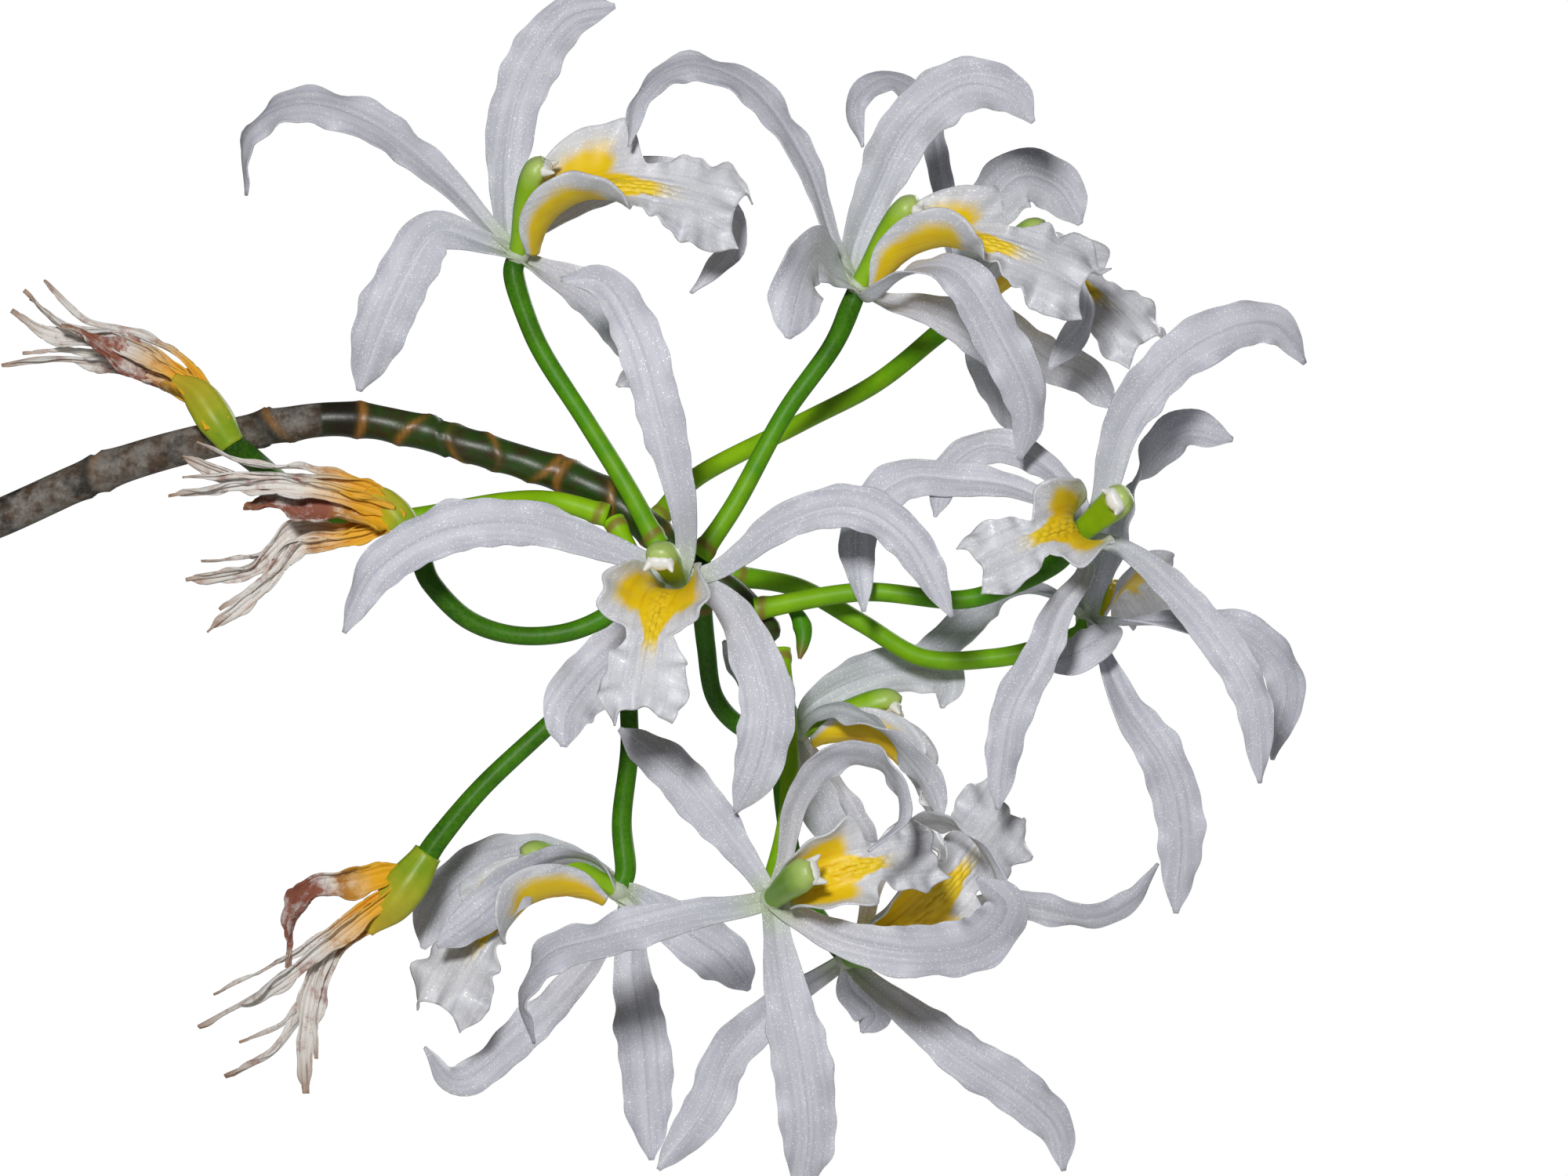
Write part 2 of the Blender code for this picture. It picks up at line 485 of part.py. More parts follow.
# Every flower, in mm from the hub: where its parts meet, where its column points, the side its lip is on,
# its stalk's route from the stem, and for each sepal and petal (width, roll at foot and tip, route).
FLOWERS = {
    "flower_top_left": {
        "centre": (-38, 0, 75),
        "forward": (0.22, -0.5, 0.84),
        "belly": (0.97, 0.0, -0.2),
        "lip_size": 1.0,
        "lip_open": 0.9,
        "lip_twist": 0.65,
        "stalk": [(-3, -9, 3), (-10, -9, 16), (-20, -6, 32), (-31, -3, 49), (-36, -1, 60), (-39, 1, 70)],
        "tepals": {
            "dorsal_sepal": (14, (0, 0), [
                (-41, 4, 82), (-41, 5, 100), (-37, 5, 119), (-26, 1, 135), (-13, -4, 138),
            ]),
            "left_petal": (13, (0, 60), [
                (-45, 0, 81), (-56, -4, 93), (-74, -10, 107),
                (-92, -12, 112), (-106, -8, 105), (-107, -2, 90),
            ]),
            "left_sepal": (15, (0, 0), [
                (-46, -3, 77), (-58, -7, 80), (-66, -9, 69), (-73, -8, 54), (-78, -5, 40),
            ]),
            "right_sepal": (14, (0, 40), [
                (-32, 3, 71), (-22, 6, 67), (-11, 10, 58), (-7, 12, 48), (-13, 11, 42),
            ]),
            "right_petal": (11, (0, 30), [
                (-36, 9, 80), (-20, 18, 92), (-3, 20, 97), (11, 18, 91), (16, 14, 79), (6, 10, 66),
            ]),
        },
    },
    "flower_top_right": {
        "centre": (49, 0, 67),
        "forward": (0.5, -0.35, 0.8),
        "belly": (0.9, -0.1, -0.4),
        "lip_size": 0.98,
        "lip_open": 0.8,
        "lip_twist": 0.8,
        "stalk": [(10, -6, 0), (18, -6, 12), (30, -5, 34), (42, -3, 51), (47, 1, 62)],
        "tepals": {
            "dorsal_sepal": (15, (0, 0), [
                (47, 4, 75), (53, 5, 91), (62, 3, 108), (75, 0, 118), (87, -4, 116), (93, -8, 108),
            ]),
            "left_petal": (11, (0, 65), [
                (42, -2, 78), (35, -6, 98), (22, -8, 116), (6, -10, 122), (-6, -14, 114), (-9, -16, 101),
            ]),
            "left_sepal": (16, (0, 0), [(42, -8, 70), (38, -18, 74), (34, -26, 66), (31, -30, 52)]),
            "right_petal": (13, (0, 0), [
                (52, -9, 63), (61, -20, 69), (73, -28, 68), (84, -29, 51), (91, -25, 35), (89, -20, 22),
            ]),
            "right_sepal": (11, (0, 0), [(56, 6, 63), (68, 8, 61), (81, 8, 54), (92, 6, 44), (95, 4, 34)]),
        },
    },
    "flower_back_right": {
        "centre": (81, 55, 69),
        "forward": (0.6, -0.4, 0.65),
        "belly": (0.62, -0.2, -0.72),
        "lip_size": 0.84,
        "lip_open": 0.85,
        "lip_twist": 0.7,
        "stalk": [(-2, 5, 8), (8, 14, 19), (34, 28, 33), (54, 42, 44), (70, 54, 57), (79, 57, 65)],
        "tepals": {
            "dorsal_sepal": (16, (0, 0), [
                (80, 60, 77), (84, 60, 90), (93, 57, 100), (103, 54, 97), (109, 50, 87),
            ]),
            "left_petal": (9, (0, 60), [
                (75, 60, 80), (72, 62, 100), (68, 64, 120), (58, 62, 127), (49, 58, 120), (51, 54, 108),
            ]),
            "right_petal": (11, (0, 40), [
                (81, 44, 69), (87, 30, 77), (102, 25, 78), (109, 25, 62), (99, 26, 47),
            ]),
            "right_sepal": (12, (0, 0), [(89, 60, 62), (100, 60, 52), (111, 58, 47), (118, 56, 38)]),
            "left_sepal": (12, (0, 0), [(80, 64, 62), (84, 68, 52), (90, 70, 42), (92, 68, 32)]),
        },
    },
    "flower_right_front": {
        "centre": (103, -25, 3),
        "forward": (0.38, -0.85, 0.36),
        "belly": (-0.85, -0.25, -0.4),
        "lip_size": 0.72,
        "lip_open": 1.0,
        "stalk": [
            (25, -8, -15), (50, -7, -11), (74, -10, -13), (88, -12, -9), (98, -13, -4), (102, -19, 1),
        ],
        "tepals": {
            "dorsal_sepal": (13, (0, 0), [
                (109, -23, 10), (114, -28, 30), (126, -31, 46),
                (142, -31, 55), (153, -28, 55), (160, -24, 46),
            ]),
            "right_petal": (10, (0, 0), [
                (114, -25, 0), (124, -34, -8), (136, -42, -22), (145, -44, -38), (147, -40, -58),
            ]),
            "right_sepal": (10.5, (0, 0), [
                (105, -23, -6), (98, -28, -16), (93, -32, -28), (86, -32, -42), (83, -30, -65),
            ]),
            "left_petal": (11, (0, 20), [
                (101, -19, 8), (88, -14, 15), (74, -12, 17), (60, -13, 17), (49, -15, 6), (50, -18, -16),
            ]),
            "left_sepal": (10, (0, 20), [
                (104, -17, 11), (94, -8, 22), (82, -6, 26), (72, -10, 20), (68, -16, 8),
            ]),
        },
    },
    "flower_right_back": {
        "centre": (108, 10, -18),
        "forward": (0.2, 0.35, 0.6),
        "belly": (0.35, 0.8, -0.5),
        "lip_size": 0.8,
        "lip_open": 0.8,
        "stalk": [
            (18, 1, -7), (34, 6, -10), (50, 8, -19), (66, 9, -28), (84, 9, -28), (98, 8, -25), (106, 8, -22),
        ],
        "tepals": {
            "dorsal_sepal": (14, (0, 0), [
                (109, 5, -10), (114, 3, 4), (121, 3, 19), (132, 3, 30), (145, 5, 28),
            ]),
            "right_petal": (11, (0, 0), [
                (116, 5, -19), (130, 0, -19), (146, -2, -21), (158, 0, -33), (155, 4, -54),
            ]),
            "right_sepal": (13, (0, 0), [
                (110, 4, -25), (117, 0, -40), (127, -3, -55), (131, -3, -72), (130, 0, -93),
            ]),
            "left_sepal": (11, (0, 0), [(112, 2, -21), (110, -6, -23), (103, -10, -27), (95, -10, -29)]),
            "left_petal": (11, (0, 0), [
                (101, 9, -13), (91, 15, -11), (80, 25, -17), (68, 26, -27), (60, 26, -32),
            ]),
        },
    },
    "flower_centre": {
        "centre": (4, -38, -8),
        "forward": (-0.14, -0.93, 0.25),
        "belly": (-0.05, 0.0, -1.0),
        "lip_size": 0.84,
        "lip_open": 0.72,
        "stalk": [(-12, -8, 5), (-8, -12, -2), (0, -20, -7), (4, -27, -8), (5, -33, -8)],
        "tepals": {
            "dorsal_sepal": (12, (0, 0), [
                (6, -38, 0), (5, -44, 12), (0, -47, 32), (-6, -46, 52), (-14, -42, 65), (-25, -39, 66),
            ]),
            "left_petal": (13, (0, 20), [
                (0, -35, -6), (-14, -36, 0), (-34, -40, 6), (-54, -43, 4), (-70, -44, -6), (-78, -42, -21),
            ]),
            "right_petal": (11, (0, 0), [
                (15, -38, -5), (30, -45, 6), (46, -49, 10), (60, -50, 2), (71, -48, -17),
            ]),
            "right_sepal": (14, (0, 0), [
                (15, -38, -13), (22, -44, -24), (26, -47, -40), (23, -46, -55), (18, -42, -65),
            ]),
            "left_sepal": (16, (0, 0), [
                (3, -32, -14), (-6, -30, -22), (-16, -34, -31), (-23, -40, -40), (-24, -42, -49),
            ]),
        },
    },
    "flower_bottom_front": {
        "centre": (27, -45, -86),
        "forward": (0.3, -0.9, 0.3),
        "belly": (0.85, -0.3, 0.3),
        "lip_size": 0.69,
        "lip_open": 0.92,
        "stalk": [(29, -9, -28), (31, -14, -46), (31, -22, -66), (28, -32, -80), (26, -39, -85)],
        "tepals": {
            "left_petal": (13, (0, 75), [
                (20, -46, -88), (6, -52, -90), (-14, -56, -95),
                (-27, -56, -99), (-34, -53, -110), (-31, -49, -121),
            ]),
            "left_sepal": (15, (0, 0), [
                (28, -46, -94), (30, -52, -106), (34, -56, -124), (36, -55, -142), (34, -50, -158),
            ]),
            "dorsal_sepal": (12, (0, 0), [(22, -41, -79), (12, -35, -66), (2, -31, -55), (-11, -28, -45)]),
            "right_petal": (9, (0, 30), [
                (30, -42, -77), (33, -48, -62), (42, -56, -51),
                (54, -66, -52), (58, -76, -64), (50, -84, -72),
            ]),
            "right_sepal": (14, (0, 30), [
                (34, -46, -91), (46, -50, -96), (62, -56, -98),
                (77, -64, -95), (83, -72, -86), (76, -76, -79),
            ]),
        },
    },
    "flower_bottom_back": {
        "centre": (46, -4, -104),
        "forward": (0.45, -0.75, 0.1),
        "belly": (0.6, 0.35, 0.75),
        "lip_size": 0.95,
        "lip_open": 0.85,
        "stalk": [(28, 4, -28), (29, 5, -46), (30, 6, -66), (34, 6, -86), (42, 1, -99)],
        "tepals": {
            "right_sepal": (13, (0, 0), [
                (51, -3, -110), (62, -6, -118), (75, -9, -128),
                (90, -9, -138), (99, -7, -147), (101, -5, -158),
            ]),
            "right_petal": (9, (0, 50), [
                (54, 3, -101), (72, 6, -94), (90, 4, -91), (108, 0, -94), (119, -3, -89), (125, -5, -80),
            ]),
            "dorsal_sepal": (10, (0, 40), [
                (50, -1, -97), (53, -4, -84), (61, -18, -70), (73, -36, -69), (82, -46, -81), (80, -46, -102),
            ]),
            "left_sepal": (10, (0, 0), [(47, 2, -112), (53, 4, -119), (50, 6, -124)]),
            "left_petal": (12, (0, 0), [
                (39, 1, -109), (29, 3, -116), (16, 2, -129), (10, 0, -143), (-2, -3, -158),
            ]),
        },
    },
    "flower_bottom_left": {
        "centre": (-13, 15, -88),
        "forward": (-0.85, -0.25, 0.4),
        "belly": (-0.45, -0.1, -0.85),
        "lip_size": 0.92,
        "lip_open": 0.8,
        "lip_twist": -0.95,
        "stalk": [
            (-1, 1, -6), (-7, 9, -18), (-10, 14, -34), (-10, 16, -52), (-12, 17, -70), (-11, 16, -83),
        ],
        "tepals": {
            "left_petal": (15, (0, 0), [
                (-19, 20, -84), (-33, 22, -80), (-48, 20, -83), (-59, 16, -92), (-63, 12, -103),
            ]),
            "left_sepal": (13, (0, 0), [
                (-18, 12, -81), (-27, 5, -79), (-38, -2, -85), (-48, -6, -94), (-58, -7, -101),
            ]),
            "right_sepal": (14, (0, 0), [(-8, 13, -94), (-9, 11, -108), (-6, 9, -128), (-4, 8, -157)]),
            "right_petal": (15, (0, 0), [(-6, 14, -91), (4, 11, -98), (14, 12, -105), (21, 16, -114)]),
            "dorsal_sepal": (11, (0, 30), [
                (-12, 22, -96), (-22, 26, -110), (-38, 26, -126), (-54, 22, -138), (-63, 17, -129),
            ]),
        },
    },
    "flower_mid_right": {
        "centre": (34, 17, -47),
        "forward": (0.85, -0.1, 0.3),
        "belly": (0.3, -0.15, -0.9),
        "lip_size": 0.85,
        "lip_open": 0.85,
        "stalk": [(9, 1, -14), (10, 8, -25), (12, 16, -38), (19, 20, -46), (29, 19, -48)],
        "tepals": {
            "dorsal_sepal": (13, (0, 0), [
                (36, 22, -41), (46, 24, -35), (60, 24, -31), (72, 21, -33), (71, 17, -41),
            ]),
            "right_petal": (11, (0, 0), [
                (38, 10, -42), (46, 2, -41), (56, -5, -47), (66, -9, -58), (70, -10, -68),
            ]),
            "left_sepal": (11, (0, 0), [(34, 14, -54), (37, 12, -62), (41, 11, -70), (46, 12, -78)]),
            "right_sepal": (11, (0, 0), [(36, 23, -53), (42, 28, -63), (50, 30, -78), (53, 29, -93)]),
            "left_petal": (11, (0, 0), [(31, 24, -43), (26, 29, -37), (20, 33, -30), (14, 36, -24)]),
        },
    },
}

# The three spent flowers: their stalk, the swollen green foot, and the shrivelled parts that hang from it.
SPENT_FLOWERS = {
    "spent_flower_upper": {
        "stalk": [
            (-17, -7, 9), (-28, -6, 12), (-42, 2, 12), (-68, 9, 8),
            (-86, 6, 8), (-97, -2, 16), (-105, -10, 23),
        ],
        "foot": ([
            (-109, -13, 26), (-113, -13, 32), (-118, -12, 39), (-124, -11, 43),
        ], (3.4, 5.2, 4.6, 2.6)),
        "parts": {
            "lip": (10, [(-116, -12, 36), (-128, -3, 42), (-140, -3, 49), (-148, -2, 54), (-154, -1, 57)]),
            "upper_strand": (5, [
                (-115, -11, 36), (-126, -7, 48), (-140, 3, 54), (-154, 2, 57), (-164, 1, 66),
            ]),
            "middle_strand": (5, [
                (-116, -12, 38), (-130, -7, 48), (-146, 4, 53), (-158, 6, 55), (-168, 5, 61),
            ]),
            "lower_strand": (4, [
                (-117, -10, 37), (-131, -3, 44), (-146, 8, 48), (-160, 9, 49), (-171, 8, 47),
            ]),
        },
    },
    "spent_flower_middle": {
        "stalk": [
            (-5, -5, -6), (-12, -5, -15), (-24, -5, -21), (-38, -6, -22),
            (-50, -8, -18), (-59, -10, -9), (-62, -10, -2),
        ],
        "foot": ([(-64, -10, 2), (-67, -10, 7), (-72, -10, 12), (-78, -10, 15)], (3.2, 4.8, 4.2, 2.4)),
        "parts": {
            "lip": (11, [(-70, -12, 8), (-80, -15, 9), (-90, -16, 11), (-98, -15, 12), (-106, -14, 10)]),
            "upper_strand": (6, [
                (-70, -10, 12), (-80, -13, 16), (-94, -16, 18), (-108, -18, 18), (-121, -18, 23),
            ]),
            "middle_strand": (5, [
                (-70, -13, 10), (-84, -19, 14), (-98, -22, 16), (-112, -22, 15), (-124, -21, 13),
            ]),
            "lower_strand": (6, [(-70, -9, 7), (-82, -7, 4), (-94, -5, 4), (-106, -4, -5), (-122, -4, -8)]),
            "hanging_strand": (5, [
                (-70, -11, 6), (-84, -10, 2), (-94, -9, 0), (-102, -9, -10), (-116, -9, -21),
            ]),
        },
    },
    "spent_flower_lower": {
        "stalk": [
            (3, -3, -10), (-6, -2, -20), (-16, -2, -32), (-30, -6, -45), (-46, -9, -60), (-57, -10, -73),
        ],
        "foot": ([
            (-60, -10, -77), (-64, -10, -83), (-69, -10, -90), (-75, -10, -97),
        ], (3.6, 6.0, 5.4, 2.2)),
        "parts": {
            "lip": (8, [
                (-68, -12, -82), (-78, -13, -84), (-88, -13, -86), (-94, -12, -95), (-95, -11, -106),
            ]),
            "upper_strand": (5, [
                (-68, -13, -86), (-78, -15, -94), (-88, -14, -102), (-102, -12, -112), (-118, -10, -121),
            ]),
            "middle_strand": (7, [
                (-70, -9, -90), (-80, -8, -98), (-88, -8, -110), (-91, -8, -124), (-91, -8, -138),
            ]),
            "lower_strand": (5, [
                (-72, -7, -92), (-82, -5, -102), (-90, -5, -115), (-100, -5, -128), (-112, -5, -134),
            ]),
        },
    },
}


def make_spent_flower(name, spent, material, group, helpers):
    """A withered flower: one shrivelled piece round the swollen foot."""
    route, radii = spent["foot"]
    foot = tube(f"{name}_foot", [in_head(*point) for point in route], [r * MM for r in radii], None, helpers)
    evaluated = foot.evaluated_get(bpy.context.evaluated_depsgraph_get())
    mesh = bpy.data.meshes.new_from_object(evaluated)
    bpy.data.objects.remove(foot)
    welded = bmesh.new()
    welded.from_mesh(mesh)
    bmesh.ops.remove_doubles(welded, verts=welded.verts, dist=0.00001)
    welded.to_mesh(mesh)
    welded.free()
    body = add_object(name, mesh, material, group)
    for part, (width, points) in spent["parts"].items():
        path = smooth_path([in_head(*point) for point in points], 8)
        frames = ribbon_frames(path, FRONT, FRONT, (0, 30))
        shares = [0.45, 0.7, 0.95, 1.0, 0.9, 0.75, 0.55, 0.25]
        widths = [width * share * MM for share in shares]
        blade = ribbon(f"{name}_{part}", path, frames, widths, SPENT_THICKNESS, None, helpers)
        hide_helper(blade)
        combine(body, blade, "UNION")


def main():
    clear_scene()
    orchid = collection("potted_orchid")
    helpers = collection("helpers")
    clay = finish("terracotta", 0.52, 0.24, 0.13, 0.9)
    bark = finish("bark", 0.16, 0.09, 0.05, 0.95)
    bulb_green = finish("bulb_green", 0.20, 0.30, 0.08, 0.5)
    leaf_green = finish("leaf_green", 0.09, 0.22, 0.05, 0.4)
    root_white = finish("root_white", 0.62, 0.62, 0.54, 0.7)
    stem_brown = finish("stem_skin", 0.20, 0.17, 0.13, 0.7)
    papery = finish("dry_sheath", 0.55, 0.45, 0.30, 0.8)
    stalk_green = finish("stalk_green", 0.14, 0.36, 0.03, 0.35)
    petal_white = finish("petal_white", 0.80, 0.80, 0.85, 0.45)
    lip_white = finish("lip_white", 0.85, 0.80, 0.55, 0.45)
    column_green = finish("column_green", 0.42, 0.60, 0.08, 0.35)
    withered = finish("withered", 0.60, 0.48, 0.36, 0.75)

    make_pot(clay, orchid, helpers)
    make_bark(bark, orchid)
    for number, (place, size, lean) in enumerate(GROWTHS, 1):
        make_pseudobulb(number, place, size, lean, bulb_green, orchid)
    for number, (growth, route, width) in enumerate(LEAVES, 1):
        make_leaf(number, growth, route, width, leaf_green, orchid)
    make_aerial_root(root_white, orchid)
    make_stem(stem_brown, orchid)
    make_sheath(papery, orchid)
    make_bract(stalk_green, orchid)
    for name, flower in FLOWERS.items():
        make_pedicel(name, flower["stalk"], in_head(*flower["centre"]), stalk_green, orchid)
        make_tepals(name, flower, petal_white, orchid, helpers)
        make_lip(name, flower, lip_white, orchid)
        make_column(name, flower, column_green, orchid)
    for name, spent in SPENT_FLOWERS.items():
        make_pedicel(name, spent["stalk"], None, stalk_green, orchid)
        make_spent_flower(name, spent, withered, orchid, helpers)


main()
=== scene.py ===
"""A potted orchid: a white laelia in a plain clay pot of bark, its flowers in a head on one long stem."""

import math
import random

import bmesh
import bpy
import numpy as np
from mathutils import Matrix, Vector, noise


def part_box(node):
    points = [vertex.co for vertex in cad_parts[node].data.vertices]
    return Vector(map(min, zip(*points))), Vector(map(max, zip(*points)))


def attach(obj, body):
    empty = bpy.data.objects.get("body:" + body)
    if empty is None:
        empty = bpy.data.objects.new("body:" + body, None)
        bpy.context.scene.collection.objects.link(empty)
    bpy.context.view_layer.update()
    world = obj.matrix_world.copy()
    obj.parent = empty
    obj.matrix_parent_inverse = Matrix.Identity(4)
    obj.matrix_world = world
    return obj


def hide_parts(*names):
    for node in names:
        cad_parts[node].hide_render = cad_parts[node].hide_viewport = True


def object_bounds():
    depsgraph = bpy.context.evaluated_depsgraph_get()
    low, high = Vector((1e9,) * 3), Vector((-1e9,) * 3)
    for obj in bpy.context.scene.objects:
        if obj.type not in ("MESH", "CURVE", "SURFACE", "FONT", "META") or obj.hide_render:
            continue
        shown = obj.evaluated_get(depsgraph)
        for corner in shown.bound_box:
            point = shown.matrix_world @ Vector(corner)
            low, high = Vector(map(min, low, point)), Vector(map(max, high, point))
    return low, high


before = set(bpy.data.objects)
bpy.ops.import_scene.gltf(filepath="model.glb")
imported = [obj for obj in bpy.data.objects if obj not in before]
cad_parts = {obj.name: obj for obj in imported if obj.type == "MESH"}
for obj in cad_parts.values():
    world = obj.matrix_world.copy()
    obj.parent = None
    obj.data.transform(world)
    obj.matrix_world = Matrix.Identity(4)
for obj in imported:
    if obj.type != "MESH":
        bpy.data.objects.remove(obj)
cad_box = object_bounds()
MM = 0.001


# ------------------------------------------------------------------------------------------------
# The pot: red earthenware, thrown or jiggered on a wheel and fired once with no glaze. It has a thick
# band at the rim to lift it by, and four holes in its foot to let the water out.

_, pot_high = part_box("pot")
POT_FOOT_RADIUS = 55 * MM
POT_TOP_RADIUS = 74 * MM
POT_WALL = 6 * MM
POT_BAND = 26 * MM
POT_EDGE = 2.4 * MM
POT_FILLET = 5 * MM
POT_BAND_SET_IN = 2 * MM
POT_SHARP = 50
WALL_WANDER = 0.35 * MM
POT_SEGMENTS = 112
DRAIN_CIRCLE, DRAIN_RADIUS, DRAIN_HOLES = 30 * MM, 6 * MM, 4
pot_rim_radius = pot_high.x
pot_height = pot_high.z


def linear(code):
    """An sRGB hex colour as linear red, green, blue and alpha."""
    shares = [int(code[i : i + 2], 16) / 255 for i in (0, 2, 4)]
    return (*[c / 12.92 if c <= 0.04045 else ((c + 0.055) / 1.055) ** 2.4 for c in shares], 1.0)


def new_finish(name):
    """An empty material, its node tree and its shader."""
    made = bpy.data.materials.new(name)
    made.use_nodes = True
    return made, made.node_tree, made.node_tree.nodes["Principled BSDF"]


def plug(node, inputs):
    """Sets a node's inputs, each to a value or to another node's output."""
    for socket, value in inputs.items():
        if isinstance(value, bpy.types.NodeSocket):
            node.id_data.links.new(value, node.inputs[socket])
        else:
            node.inputs[socket].default_value = value


def add(tree, kind, inputs, output=0, **settings):
    """Adds a shader node with its settings and inputs, and gives one of its outputs."""
    made = tree.nodes.new("ShaderNode" + kind)
    for setting, value in settings.items():
        setattr(made, setting, value)
    plug(made, inputs)
    return made.outputs[output]


# What a Mix node needs to mix colours: the kind of data, and the output that carries a colour.
COLOURS = {"output": 2, "data_type": "RGBA"}


def coated(tree, colour, *coats):
    """Lays coats of colour over a first one. A coat is a pattern, two values of it, how strong the coat is
    at each of them, and its colour."""
    for pattern, start, end, first, last, code in coats:
        amount = add(tree, "MapRange", {
            "Value": pattern, "From Min": start, "From Max": end, "To Min": first, "To Max": last})
        colour = add(tree, "Mix", {0: amount, 6: colour, 7: linear(code)}, **COLOURS)
    return colour


def settle(piece, finish, slot, *nodes):
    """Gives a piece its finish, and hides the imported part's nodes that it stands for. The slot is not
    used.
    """
    piece.data.materials.clear()
    piece.data.materials.append(finish)
    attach(piece, "root")
    if nodes:
        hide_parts(*nodes)
    return piece


def show(name, mesh):
    """Puts a mesh or lamp in the scene as an object of this name."""
    made = bpy.data.objects.new(name, mesh)
    bpy.context.scene.collection.objects.link(made)
    return made


def as_mesh(name, shape):
    """The mesh of a worked shape, which is freed."""
    mesh = bpy.data.meshes.new(name)
    shape.to_mesh(mesh)
    shape.free()
    return mesh


def fixed_mesh(piece):
    """The piece's mesh with its modifiers applied. The piece itself is removed."""
    bpy.context.view_layer.update()
    mesh = bpy.data.meshes.new_from_object(piece.evaluated_get(bpy.context.evaluated_depsgraph_get()))
    bpy.data.objects.remove(piece)
    return mesh


def arc(centre, radius, start, end, steps=5):
    """Points on a rounded corner of a profile, as (radius, height). Angles in degrees."""
    turns = np.radians(np.linspace(start, end, steps))
    return [(centre[0] + radius * math.cos(t), centre[1] + radius * math.sin(t)) for t in turns]


# Earthenware: porous and quite matt, with rings from the wheel, sandy specks, and pale bloom where the
# salts of the water have dried.
BLOOM_PATCH = 34 * MM
GRIT = 0.9 * MM
WHEEL_RING = 3.2 * MM
earthenware, tree, shader = new_finish("earthenware_unglazed")
place = add(tree, "TexCoord", {}, "Object")
cloud = add(tree, "TexNoise", {"Vector": place, "Scale": 1 / BLOOM_PATCH, "Detail": 6, "Roughness": 0.62})
grit = add(tree, "TexNoise", {"Vector": place, "Scale": 1 / GRIT, "Detail": 2})
height = add(tree, "SeparateXYZ", {"Vector": place}, "Z")
# A wave texture of scale 1 has a band every 0.314 m.
rings = add(tree, "TexWave", {
    "Vector": place, "Scale": 0.314 / WHEEL_RING, "Distortion": 1.2, "Detail": 2,
}, "Fac", bands_direction="Z")
clay = add(tree, "Mix", {0: grit, 6: linear("A55E3F"), 7: linear("BD7350")}, **COLOURS)
clay = coated(
    tree, clay,
    (height, 0, 0.05, 0.75, 0, "8A4A32"),  # a damp, darker foot
    (cloud, 0.5, 0.72, 0, 0.6, "D3B7A2"),  # dried salts
)
rough = add(tree, "MapRange", {"Value": cloud, "To Min": 0.78, "To Max": 0.95})
relief = add(tree, "Math", {0: rings, 1: grit}, operation="ADD")
bump = add(tree, "Bump", {"Height": relief, "Strength": 0.5, "Distance": 0.25 * MM})
plug(shader, {"Base Color": clay, "Roughness": rough, "Normal": bump})


def pot_radius(height):
    """The outside of the pot's plain wall at a height."""
    return POT_FOOT_RADIUS + (POT_TOP_RADIUS - POT_FOOT_RADIUS) * height / pot_height


band_foot = pot_height - POT_BAND
band_radius = pot_rim_radius - POT_BAND_SET_IN
inner_foot = POT_FOOT_RADIUS - POT_WALL
profile = [
    (0, 0), (POT_FOOT_RADIUS - POT_EDGE, 0),
    *arc((POT_FOOT_RADIUS - POT_EDGE, POT_EDGE), POT_EDGE, -80, 0),
    (pot_radius(band_foot) - 0.4 * MM, band_foot - 3 * MM), (pot_radius(band_foot) + 0.6 * MM, band_foot),
    *arc((band_radius - POT_EDGE, band_foot + POT_EDGE), POT_EDGE, -90, 0),
    *arc((pot_rim_radius - POT_EDGE, pot_height - POT_EDGE), POT_EDGE, 0, 90),
    *arc((POT_TOP_RADIUS - POT_WALL + POT_EDGE, pot_height - POT_EDGE), POT_EDGE, 90, 180),
    *arc((inner_foot - POT_FILLET, POT_WALL + POT_FILLET), POT_FILLET, 0, -90),
    (0, POT_WALL),
]
turning = bpy.data.meshes.new("pot_profile")
turning.from_pydata([(r, 0, z) for r, z in profile], [(i, i + 1) for i in range(len(profile) - 1)], [])
pot = show("clay_pot", turning)
turn = pot.modifiers.new("turned on a wheel", "SCREW")
turn.steps = turn.render_steps = POT_SEGMENTS
turn.use_merge_vertices = True
turn.merge_threshold = 0.02 * MM
drills = []
for i in range(DRAIN_HOLES):
    angle = math.tau * (i + 0.5) / DRAIN_HOLES
    drill_shape = bmesh.new()
    spot = Matrix.Translation((DRAIN_CIRCLE * math.cos(angle), DRAIN_CIRCLE * math.sin(angle), 0))
    bmesh.ops.create_cone(drill_shape, cap_ends=True, segments=28, radius1=DRAIN_RADIUS,
                          radius2=DRAIN_RADIUS, depth=4 * POT_WALL, matrix=spot)
    drills.append(show(f"drain_drill_{i}", as_mesh(f"drain_drill_{i}", drill_shape)))
    cut = pot.modifiers.new(f"drain hole {i + 1}", "BOOLEAN")
    cut.operation, cut.object = "DIFFERENCE", drills[-1]
pot_mesh = fixed_mesh(pot)
for drill in drills:
    bpy.data.objects.remove(drill)
pot_body = bmesh.new()
pot_body.from_mesh(pot_mesh)
bmesh.ops.recalc_face_normals(pot_body, faces=pot_body.faces)
for vertex in pot_body.verts:
    # The hand of the thrower: the wall wanders by a fraction of a millimetre.
    wander = noise.noise(vertex.co * 22) * WALL_WANDER
    out = Vector((vertex.co.x, vertex.co.y, 0))
    if out.length > inner_foot and vertex.co.z > POT_EDGE:
        vertex.co -= out.normalized() * abs(wander)
pot_body.to_mesh(pot_mesh)
pot_body.free()
pot_mesh.shade_smooth()
pot_mesh.set_sharp_from_angle(angle=math.radians(POT_SHARP))
settle(show("clay_pot", pot_mesh), earthenware, "terracotta", "pot")


